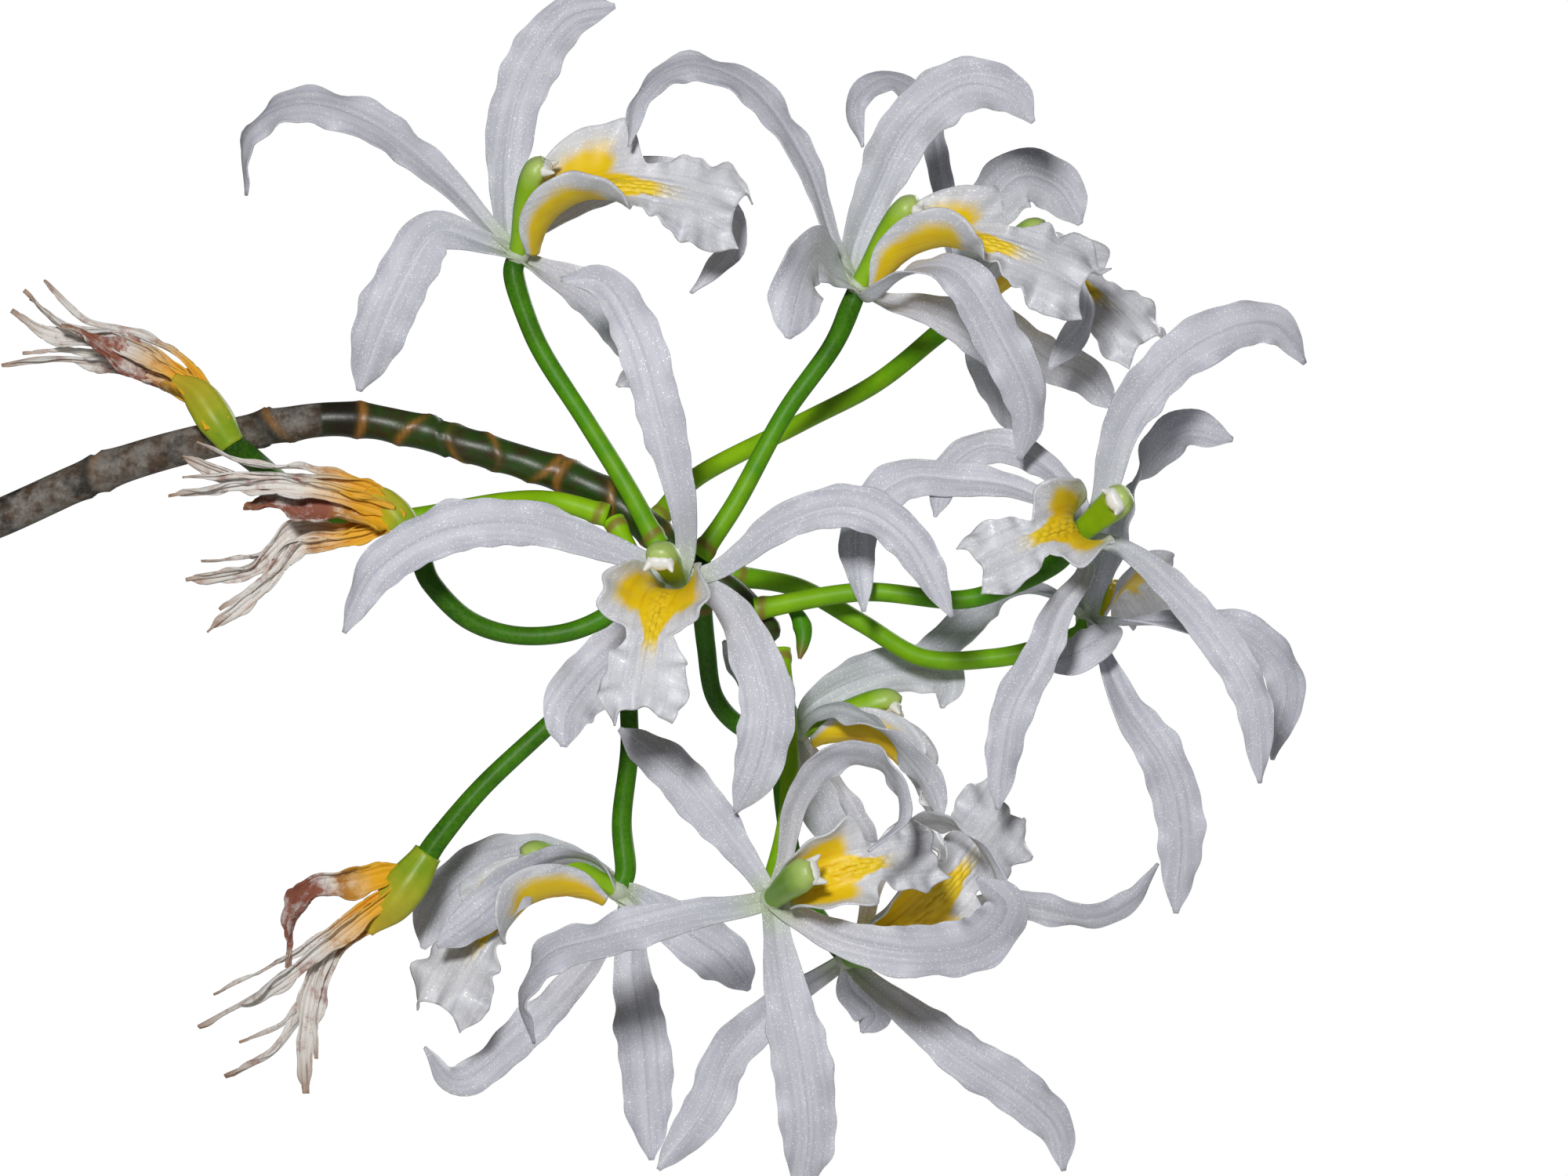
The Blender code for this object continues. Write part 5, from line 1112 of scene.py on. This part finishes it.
# How far the sides run ahead of the floor: at the side lobes' front corners, and at the front lobe's ends.
LIP_AHEAD = [(0, 0), (0.12, 1), (0.3, 5), (0.42, 8.5), (0.5, 5), (0.57, 0.5), (0.7, -1), (0.85, 0), (1, 4.5)]
LIP_FLARE = [(0, 0), (0.15, 0.3), (0.3, 1.6), (0.44, 3.4), (0.54, 1), (0.62, 0), (1, 0)]
LIP_RUFFLE = [(0, 0), (0.25, 0.3), (0.42, 1.1), (0.56, 0.3), (0.7, 1.3), (0.88, 2.2), (1, 1.6)]
LIP_RUFFLE_LENGTH = 8.5 * MM
KEELS = [(0.0, 1.9), (-0.15, 1.7), (0.15, 1.7), (-0.31, 0.9), (0.31, 0.9)]
KEEL_HEIGHT = [(0, 0), (0.06, 0.35), (0.3, 0.6), (0.5, 1.0), (0.66, 1.0), (0.76, 0.3), (0.85, 0)]
KEEL_TOOTH, KEEL_SPREAD, KEEL_WIDTH = 3.4 * MM, 8.5 * MM, 0.62 * MM
LIP_JAG = 0.35 * MM

# Lip: the petals' frosted white, flooded with egg-yellow in the throat and on the keels, with orange-brown
# veins that fan out from its foot and show through on the outside. Its white carries the same painted
# glints, painted highlights mixed in as white.
lip_skin, tree, shader = new_finish("lip_white_yellow_throat")
weave = add(tree, "Attribute", {}, "Vector", attribute_name="weave")
throat, streak, crest = (
    add(tree, "Attribute", {}, "Fac", attribute_name=key) for key in ("throat", "streak", "crest"))
vein_place = add(tree, "Mapping", {"Vector": weave, "Scale": (1 / VEIN, 0.03, 1.0)})
veins = add(tree, "TexNoise", {"Vector": vein_place, "Scale": 1.0, "Detail": 2})
cloud = add(tree, "TexNoise", {"Vector": weave, "Scale": 1 / 5, "Detail": 4})
white = add(tree, "Mix", {0: cloud, 6: linear("DADBE2"), 7: linear("EBECF0")}, **COLOURS)
white = coated(tree, white, (veins, 0.42, 0.66, 0, 0.4, "B8BAC7"))
uneven = add(tree, "MapRange", {"Value": cloud, "To Min": -0.22, "To Max": 0.22})
flood = add(tree, "Math", {0: throat, 1: uneven}, operation="ADD")
flood = add(tree, "MapRange", {
    "Value": flood, "From Min": 0.28, "From Max": 0.72}, interpolation_type="SMOOTHSTEP")
yellow = add(tree, "Mix", {0: cloud, 6: linear("F2C200"), 7: linear("FFE21A")}, **COLOURS)
tint = add(tree, "Mix", {0: flood, 6: white, 7: yellow}, **COLOURS)
fan = add(tree, "MapRange", {"Value": veins, "From Min": 0.53, "From Max": 0.68})
fan = add(tree, "Math", {0: fan, 1: streak}, operation="MULTIPLY")
tint = add(tree, "Mix", {0: fan, 6: tint, 7: linear("E6A202")}, **COLOURS)
tint = add(tree, "Mix", {0: crest, 6: tint, 7: linear("FADB38")}, **COLOURS)
painted_glint = painted_frost_glints(tree, weave, 0.3, 0.75, 0.9)
pale = add(tree, "Math", {0: 1.0, 1: flood}, operation="SUBTRACT")
painted_glint = add(tree, "Math", {0: painted_glint, 1: pale}, operation="MULTIPLY")
# Painted highlights: the glinting cells of the white parts are mixed to white in the colour.
tint = add(tree, "Mix", {0: painted_glint, 6: tint, 7: linear("FFFFFF")}, **COLOURS)
frost = add(tree, "MapRange", {"Value": painted_glint, "To Min": 0.5, "To Max": 0.25})
relief = add(tree, "Math", {0: veins, 1: cloud}, operation="ADD")
bump = add(tree, "Bump", {"Height": relief, "Strength": 0.35, "Distance": 0.2 * MM})
plug(shader, {
    "Base Color": tint, "Roughness": frost, "Subsurface Weight": 0.12,
    "Subsurface Radius": (1.0, 0.8, 0.6), "Subsurface Scale": 1.2 * MM, "Normal": bump,
})


def fade(value, start, stop):
    """How far a value has come from start to stop, from 0 to 1."""
    return np.clip((value - start) / (stop - start), 0, 1)


def lip_shape(axes, size, opening, full_twist, seed):
    """A flower's lip: rows across it, from its foot at the column to its front edge."""
    dice = random.Random(seed)
    centre, forward, belly = flower_axes(*axes)
    share = np.linspace(0, 1, 78)
    s = share[:, None]
    even = np.linspace(-1, 1, 53)
    across = (np.sign(even) * np.abs(even) ** 1.3)[None]
    turn = np.radians(eased(LIP_TURN, share, 0.02) * opening)[:, None]
    heading = forward * np.cos(turn) + belly * np.sin(turn)
    inward = forward * np.sin(turn) - belly * np.cos(turn)
    side, inward = rolled(np.cross(forward, belly), inward, -eased(LIP_TWIST, share, 0.02) * full_twist)
    long = LIP_LENGTH * size
    run = np.vstack([[0, 0, 0], np.cumsum(heading[:-1] * (long / (len(share) - 1)), 0)])
    floor = centre + forward * LIP_LIFT + belly * LIP_OFFSET + run
    half = eased(LIP_HALF, share, 0.025)[:, None] * size * MM
    roll = eased(LIP_ROLL, share)[:, None]
    roll = np.where(np.abs(roll) < 0.01, 0.01, roll)
    angle = roll * across
    edge = np.abs(across)
    aside = half / roll * np.sin(angle)
    rise = half / roll * (1 - np.cos(angle))
    # Everything below lifts the surface along its own normal, towards the column.
    lift = -eased(LIP_FLARE, share)[:, None] * size * MM * fade(edge, 0.5, 1) ** 2
    left = across < 0
    beat = s * long / LIP_RUFFLE_LENGTH * math.tau
    phases = [dice.uniform(0, math.tau) for _ in range(5)]
    ruffle = np.where(left, np.sin(beat + phases[0]) + 0.5 * np.sin(1.9 * beat + phases[1]),
                      np.sin(beat + phases[2]) + 0.5 * np.sin(1.9 * beat + phases[3]))
    end = np.sin(across * 7.5 + phases[4]) * fade(s, 0.86, 1) * 0.8
    lift = lift + eased(LIP_RUFFLE, share)[:, None] * size * MM * (ruffle * edge**2.6 + end)
    keel_height = eased(KEEL_HEIGHT, share, 0.02)[:, None] * MM * size
    crest = 0 * lift
    for number, (place, tall) in enumerate(KEELS):
        bite = s * long / KEEL_TOOTH * math.tau
        tooth = 0.76 + 0.16 * np.sin(bite + 1.9 * number + phases[4]) + 0.1 * np.sin(1.7 * bite + 4 * number)
        crest_line = place * np.clip(KEEL_SPREAD / half, 0.5, 1.2) + 0.012 * np.sin(s * 40 + number)
        profile = np.exp(-(((across - crest_line) * half / KEEL_WIDTH) ** 2))
        lift = lift + keel_height * tall * tooth * profile
        crest = np.maximum(crest, profile * tooth * keel_height / MM * (tall > 1))
    ahead = eased(LIP_AHEAD, share)[:, None] * size * MM * edge**2.2
    jag = LIP_JAG * np.sin(beat * 1.3 + 9 * across) * edge**6
    aside = aside - np.sin(angle) * lift + np.sign(across) * jag
    rise = rise + np.cos(angle) * lift
    middle = floor[:, None] + side[:, None] * aside[..., None]
    middle = middle + inward[:, None] * rise[..., None] + heading[:, None] * ahead[..., None]
    thick = LIP_EDGE + (LIP_THICK - LIP_EDGE) * (1 - edge**2) * (1 - 0.5 * s)
    disc = fade(edge, 1.06, 0.5) * fade(s, 0.53, 0.38)
    ridges = fade(edge, 0.5, 0.22) * fade(s, 0.76, 0.58)
    streak = 0.75 * fade(edge, 0.75, 0.25) * fade(s, 0.5, 0.3) * fade(s, 0.03, 0.12)
    return sheet(middle, thick, weave=woven(across * half / MM, s * long / MM, 11.7 * seed % 100),
                 throat=np.maximum(disc, ridges), streak=streak,
                 crest=crest.clip(0, 1) * 0.7 * fade(s, 0.86, 0.7))


for number, (name, (*axes, lip, _)) in enumerate(FLOWERS.items(), 1):
    grown(f"{name}_keeled_lip", [lip_shape(axes, *lip, number)], lip_skin, "lip_white_yellow", f"{name}_lip")


# ------------------------------------------------------------------------------------------------
# The columns: stamen and pistil grown into one green hooded finger over the lip's throat. Its tip bends down
# and carries the anther cap, a small white lid with teeth, over the pollen.

COLUMN_LENGTH = 27 * MM
COLUMN_RADIUS = 3.3 * MM
COLUMN_ROUTE = [(-0.04, 0.0), (0.17, 0.0), (0.5, 0.6), (0.8, 0.3), (0.93, -0.6), (1.0, -1.8)]
COLUMN_GIRTH = [(0, 0.8), (0.4, 0.92), (0.78, 1.12), (0.92, 1.08), (1, 0.55)]
# The hood is wider than it is deep, and the cap sits under its lip, with its own sides turned up. Each tooth
# leans out from its middle, and has a length and a thickness in mm.
HOOD_WIDE, HOOD_DEEP = 1.12, 0.92
CAP_SIZE = (3.3 * MM, 2.1 * MM, 2.2 * MM)
CAP_DROP, CAP_TURN_UP = 1.7 * MM, 0.8 * MM
CAP_TEETH = [(-1.0, 2.8, 1.4), (0.0, 1.6, 0.8), (1.0, 2.8, 1.4)]

# Column: waxy green tissue, lime with deeper green along its back and a paler rim, and the white cap on it.
column_skin, tree, shader = new_finish("column_green_waxy")
place = add(tree, "TexCoord", {}, "Object")
cap, reach, back = (
    add(tree, "Attribute", {}, "Fac", attribute_name=key) for key in ("cap", "reach", "back"))
cloud = add(tree, "TexNoise", {"Vector": place, "Scale": 1 / (3 * MM), "Detail": 4})
fine = add(tree, "TexNoise", {"Vector": place, "Scale": 1 / (0.6 * MM), "Detail": 2})
green = add(tree, "Mix", {0: cloud, 6: linear("7CB40A"), 7: linear("A8D022")}, **COLOURS)
green = add(tree, "Mix", {0: back, 6: green, 7: linear("5C9C10")}, **COLOURS)
green = coated(tree, green, (reach, 0.74, 1, 0, 0.6, "D8E296"))
white = add(tree, "Mix", {0: cloud, 6: linear("EEEDE4"), 7: linear("FAF9F4")}, **COLOURS)
tint = add(tree, "Mix", {0: cap, 6: green, 7: white}, **COLOURS)
bump = add(tree, "Bump", {"Height": fine, "Strength": 0.3, "Distance": 0.1 * MM})
plug(shader, {"Base Color": tint, "Roughness": 0.4, "Normal": bump})

for name, (*axes, _, _) in FLOWERS.items():
    centre, forward, belly = flower_axes(*axes)
    side = np.cross(forward, belly)
    points = [centre + forward * COLUMN_LENGTH * along - belly * up * MM for along, up in COLUMN_ROUTE]
    path = smooth_path(points, 46)
    share = np.linspace(0, 1, len(path))
    turn = around(28)
    # The underside, towards the lip, is hollowed, and its two edges stand out as narrow wings.
    under = np.clip(-np.cos(turn), 0, 1)[None]
    wing = np.exp(-(((np.abs(turn - math.pi) - 1.05) / 0.3) ** 2))[None]
    swell = np.sin(np.pi * np.clip(share, 0, 1))[:, None] ** 0.7
    radii = COLUMN_RADIUS * eased(COLUMN_GIRTH, share)[:, None] * (
        1 - 0.4 * under**2 * share[:, None] + 0.2 * wing * swell)
    radii = radii * (HOOD_DEEP + (HOOD_WIDE - HOOD_DEEP) * np.abs(np.sin(turn))[None] * share[:, None])
    back = 0.7 * np.clip(np.cos(turn), 0, 1)[None] ** 2
    body = tube(path, radii, len(turn), -belly, reach=share, back=back, cap=0.0)
    seat = path[-5] + belly * CAP_DROP
    cap = rounded_bud(0, 1, reach=1.0, back=0.0, cap=1.0)
    local = cap["points"] * CAP_SIZE
    local[:, 2] += CAP_TURN_UP * np.abs(local[:, 0]) / CAP_SIZE[0]
    cap["points"] = seat + local[:, :1] * side + local[:, 1:2] * belly + local[:, 2:] * forward
    teeth = []
    for lean, long, thick in CAP_TEETH:
        root = seat + side * lean * 2.0 * MM + forward * 0.5 * MM
        point = root + belly * long * MM + forward * 1.2 * MM + side * lean * 1.5 * MM
        taper = np.linspace(1, 0.08, 9) ** 0.7 * thick * MM
        teeth.append(tube(np.linspace(root, point, 9), taper, 12, side, reach=1.0, back=0.0, cap=1.0))
    grown(f"{name}_capped_column", [body, cap, *teeth], column_skin, "column_green", f"{name}_column")


# ------------------------------------------------------------------------------------------------
# The spent flowers: three that have gone over. The ovary has begun to swell, ribbed and green, and from its
# end hang the sepals, petals and lip, shrivelled to twisted strips of thin brown-veined paper.

# Each: the route and radii of its swollen foot, then the width and route of its lip and of its other
# strands. Routes are in mm from the hub.
SPENT_FLOWERS = {
    "spent_flower_upper": (
        [(-109, -13, 26), (-113, -13, 32), (-118, -12, 39), (-124, -11, 43)], (3.4, 5.2, 4.6, 2.6), [
            (10, [(-116, -12, 36), (-128, -3, 42), (-140, -3, 49), (-148, -2, 54), (-154, -1, 57)]),
            (5, [(-115, -11, 36), (-126, -7, 48), (-140, 3, 54), (-154, 2, 57), (-164, 1, 66)]),
            (5, [(-116, -12, 38), (-130, -7, 48), (-146, 4, 53), (-158, 6, 55), (-168, 5, 61)]),
            (4, [(-117, -10, 37), (-131, -3, 44), (-146, 8, 48), (-160, 9, 49), (-171, 8, 47)]),
        ],
    ),
    "spent_flower_middle": (
        [(-64, -10, 2), (-67, -10, 7), (-72, -10, 12), (-78, -10, 15)], (3.2, 4.8, 4.2, 2.4), [
            (11, [(-70, -12, 8), (-80, -15, 9), (-90, -16, 11), (-98, -15, 12), (-106, -14, 10)]),
            (6, [(-70, -10, 12), (-80, -13, 16), (-94, -16, 18), (-108, -18, 18), (-121, -18, 23)]),
            (5, [(-70, -13, 10), (-84, -19, 14), (-98, -22, 16), (-112, -22, 15), (-124, -21, 13)]),
            (6, [(-70, -9, 7), (-82, -7, 4), (-94, -5, 4), (-106, -4, -5), (-122, -4, -8)]),
            (5, [(-70, -11, 6), (-84, -10, 2), (-94, -9, 0), (-102, -9, -10), (-116, -9, -21)]),
        ],
    ),
    "spent_flower_lower": (
        [(-60, -10, -77), (-64, -10, -83), (-69, -10, -90), (-75, -10, -97)], (3.6, 6.0, 5.4, 2.2), [
            (8, [(-68, -12, -82), (-78, -13, -84), (-88, -13, -86), (-94, -12, -95), (-95, -11, -106)]),
            (5, [(-68, -13, -86), (-78, -15, -94), (-88, -14, -102), (-102, -12, -112), (-118, -10, -121)]),
            (7, [(-70, -9, -90), (-80, -8, -98), (-88, -8, -110), (-91, -8, -124), (-91, -8, -138)]),
            (5, [(-72, -7, -92), (-82, -5, -102), (-90, -5, -115), (-100, -5, -128), (-112, -5, -134)]),
        ],
    ),
}
SPENT_RIBS = 6
STRIP_PROFILE = [(0, 0.5), (0.2, 0.8), (0.45, 1.0), (0.7, 0.85), (0.9, 0.45), (1, 0.1)]
STRIP_THICK = 0.5 * MM
STRIP_FOLD, STRIP_PLEAT, STRIP_CRUMPLE = 2.1 / 1.3 * MM, 0.35 * MM, 0.45 * MM
SHRED_WIDTH = 2.6 * MM
# How deeply the lip, the other strands and the shreds are stained brown.
LIP_STAIN, STRAND_STAIN, SHRED_STAIN = 0.29, 0.11, 0.12
# The way each part leans out from the ovary where it springs from it.
SPRING = [(0.2, -0.9, -0.3), (0.2, -0.4, 0.9), (-0.3, 0.9, 0.4), (0.3, -0.2, -0.9), (-0.4, -0.8, 0.5)]

# Withered petal: parchment-thin, cream going brown at the tips, orange where the yellow throat was, with
# russet veins. The ovary end is still living green.
withered, tree, shader = new_finish("withered_petal_papery")
weave = add(tree, "Attribute", {}, "Vector", attribute_name="weave")
reach, ripe, lip_stain = (
    add(tree, "Attribute", {}, "Fac", attribute_name=key) for key in ("reach", "ripe", "lip_stain"))
vein_place = add(tree, "Mapping", {"Vector": weave, "Scale": (1.1, 0.06, 1.0)})
veins = add(tree, "TexNoise", {"Vector": vein_place, "Scale": 1.0, "Detail": 4, "Roughness": 0.65})
cloud = add(tree, "TexNoise", {"Vector": weave, "Scale": 1 / 6, "Detail": 6, "Roughness": 0.7})
cream = add(tree, "Mix", {0: veins, 6: linear("D8D2CA"), 7: linear("FAF8F4")}, **COLOURS)
cream = coated(tree, cream, (veins, 0.54, 0.68, 0, 0.6, "AE6632"))
stain = add(tree, "Math", {0: cloud, 1: lip_stain}, operation="ADD")
cream = coated(
    tree, cream,
    (stain, 0.64, 0.84, 0, 0.92, "8C3A08"),  # stains
    (reach, 0.24, 0.48, 0.95, 0, "F0B400"),  # what is left of the yellow
    (reach, 0.86, 1, 0, 0.7, "9C6A38"),  # dried tips
)
ovary = add(tree, "Mix", {0: cloud, 6: linear("3E9208"), 7: linear("C8CC2E")}, **COLOURS)
cream = add(tree, "Mix", {0: ripe, 6: cream, 7: ovary}, **COLOURS)
dull = add(tree, "MapRange", {"Value": ripe, "To Min": 0.78, "To Max": 0.42})
relief = add(tree, "Math", {0: veins, 1: cloud}, operation="ADD")
bump = add(tree, "Bump", {"Height": relief, "Strength": 0.45, "Distance": 0.25 * MM})
plug(shader, {"Base Color": cream, "Roughness": dull, "Normal": bump})


def strip(path, width, seed, stained):
    """One shrivelled part along its path: pleated along its length, twisted, and torn thin at its tip."""
    dice = random.Random(seed)
    share = np.linspace(0, 1, len(path))
    _, side, normal = path_frames(path, TOWARDS_EYE, TOWARDS_EYE, 0.02)
    turn = dice.uniform(-0.5, 0.5) + dice.choice((-1, 1)) * dice.uniform(0.5, 1.5) * share
    turn += 0.35 * np.sin(9 * share + dice.uniform(0, 6))
    side, normal = rolled(side, normal, turn)
    half = eased(STRIP_PROFILE, share, 0.03)[:, None] * width / 2
    half = half * (1 + 0.22 * np.sin(17 * share + dice.uniform(0, 6)) + 0.1 * np.sin(41 * share))[:, None]
    across = np.linspace(-1, 1, 19)[None]
    curl = 1.25 * np.sin(np.pi * np.clip(share * 1.1, 0, 1))[:, None] + 0.35
    folds = across * half / STRIP_FOLD * math.tau
    pleat = STRIP_PLEAT * np.sin(folds + dice.uniform(0, 6) + 4 * share[:, None])
    crumple = STRIP_CRUMPLE * np.sin(31 * share + dice.uniform(0, 6))[:, None] * across**2
    aside = half * np.sin(curl * across) / curl
    rise = half * (1 - np.cos(curl * across)) / curl + (pleat + crumple) * np.clip(4 * share, 0, 1)[:, None]
    middle = path[:, None] + side[:, None] * aside[..., None] + normal[:, None] * rise[..., None]
    weave = woven(across * half / MM, share[:, None] * run_length(path) / MM, 3.7 * seed % 50)
    return sheet(middle, STRIP_THICK, weave=weave, reach=share[:, None], ripe=0.0, lip_stain=stained)


for number, (name, (route, radii, parts)) in enumerate(SPENT_FLOWERS.items()):
    path = smooth_path([in_head(*point) for point in route], 40)
    share = np.linspace(0, 1, len(path))
    turn = around(36)
    ribs = 1 - 0.1 * (0.5 - 0.5 * np.cos(SPENT_RIBS * turn))[None] * np.sin(np.pi * share)[:, None] ** 0.5
    girth = np.interp(share, np.linspace(0, 1, len(radii)), (*radii[:-1], 0.45 * radii[-1]))
    swollen = eased(list(zip(share, girth)), share, 0.1)[:, None] * MM * ribs
    ripe = np.clip(1.15 - 0.75 * share, 0, 1)
    foot = tube(path, swollen, len(turn), (0, 1, 0), reach=0.2 * share, ripe=ripe, lip_stain=0.0)
    foot["weave"] = woven(turn * 4, share[:, None] * 20, 60 + number).reshape(-1, 3)
    shapes = []
    for part, (width, points) in enumerate(parts):
        sprung = np.array(route[1]) + np.array(SPRING[part]) * radii[1] * 0.7
        path = smooth_path([in_head(*point) for point in [sprung, *points]], 90)
        shapes.append(strip(path, width * 1.3 * MM, 50 * number + part, STRAND_STAIN if part else LIP_STAIN))
    # Thin shreds run along with each strand where a margin has torn away from it.
    for part, (_, points) in enumerate(parts[1:]):
        shift = np.array([(0, 1.5 * (-1) ** part, 0.4 + 1.1 * i) for i in range(len(points))])
        path = smooth_path([in_head(*point) for point in np.array(points) * (0.97, 1, 0.97) + shift], 80)
        shapes.append(strip(path, SHRED_WIDTH, 50 * number + 20 + part, SHRED_STAIN))
    grown(f"{name}_shrivelled", [*shapes, foot], withered, "withered_flower", name)


# ------------------------------------------------------------------------------------------------
# The stage: a plain pale floor, a white surround, a soft lamp beside the camera, and a weaker one behind.

# Matt board: an even off-white with a faint unevenness.
board, tree, shader = new_finish("stage_board_matt")
place = add(tree, "TexCoord", {}, "Object")
cloud = add(tree, "TexNoise", {"Vector": place, "Scale": 6, "Detail": 3})
pale = add(tree, "Mix", {0: cloud, 6: linear("ECECEA"), 7: linear("F3F3F1")}, **COLOURS)
seen = add(tree, "LightPath", {}, "Is Camera Ray")
lifted = add(tree, "MapRange", {"Value": seen, "To Max": 0.55})
plug(shader, {
    "Base Color": pale, "Roughness": 0.9, "Emission Color": linear("FFFFFF"),
    "Emission Strength": lifted,
})

floor_shape = bmesh.new()
bmesh.ops.create_circle(floor_shape, cap_ends=True, segments=96, radius=4.0)
floor_mesh = as_mesh("stage_floor", floor_shape)
floor_mesh.materials.append(board)
floor = show("stage_floor", floor_mesh)
floor.location.z = cad_box[0].z - 0.2 * MM

scene = bpy.context.scene
scene.view_settings.view_transform = "Standard"
surround = bpy.data.worlds.new("white_surround")
surround.use_nodes = True
sky = surround.node_tree
sky.nodes.clear()
seen = add(sky, "LightPath", {}, "Is Camera Ray")
strength = add(sky, "MapRange", {"Value": seen, "To Min": 0.06, "To Max": 1.0})
glow = add(sky, "Background", {"Color": linear("FFFFFF"), "Strength": strength}, "Background")
sky.links.new(glow, sky.nodes.new("ShaderNodeOutputWorld").inputs["Surface"])
scene.world = surround


def lamp(name, spot, aim, size, watts):
    """A square lamp at a spot, turned to what it lights."""
    made = bpy.data.lights.new(name, "AREA")
    made.size = size
    made.energy = watts
    placed = show(name, made)
    placed.location = spot
    placed.rotation_euler = (Vector(aim) - Vector(spot)).to_track_quat("-Z", "Y").to_euler()


LENS, SENSOR = 100, 36
CAMERA_DISTANCE = 1.111
aim = Vector(in_head(30, 0, -10))
lamp("soft_lamp", aim + Vector((-0.12, -1.05, 0.28)), aim, 0.13, 8.2)
lamp("back_lamp", aim + Vector((0.9, 1.5, 0.6)), aim - Vector((0.1, 0, 0.3)), 1.2, 20)

camera = bpy.data.objects.new("camera", bpy.data.cameras.new("camera"))
camera.data.lens, camera.data.sensor_width = LENS, SENSOR
camera.location = aim - Vector((0, CAMERA_DISTANCE, 0))
camera.rotation_euler = (math.pi / 2, 0, 0)
scene.collection.objects.link(camera)
scene.camera = camera

bpy.context.view_layer.update()
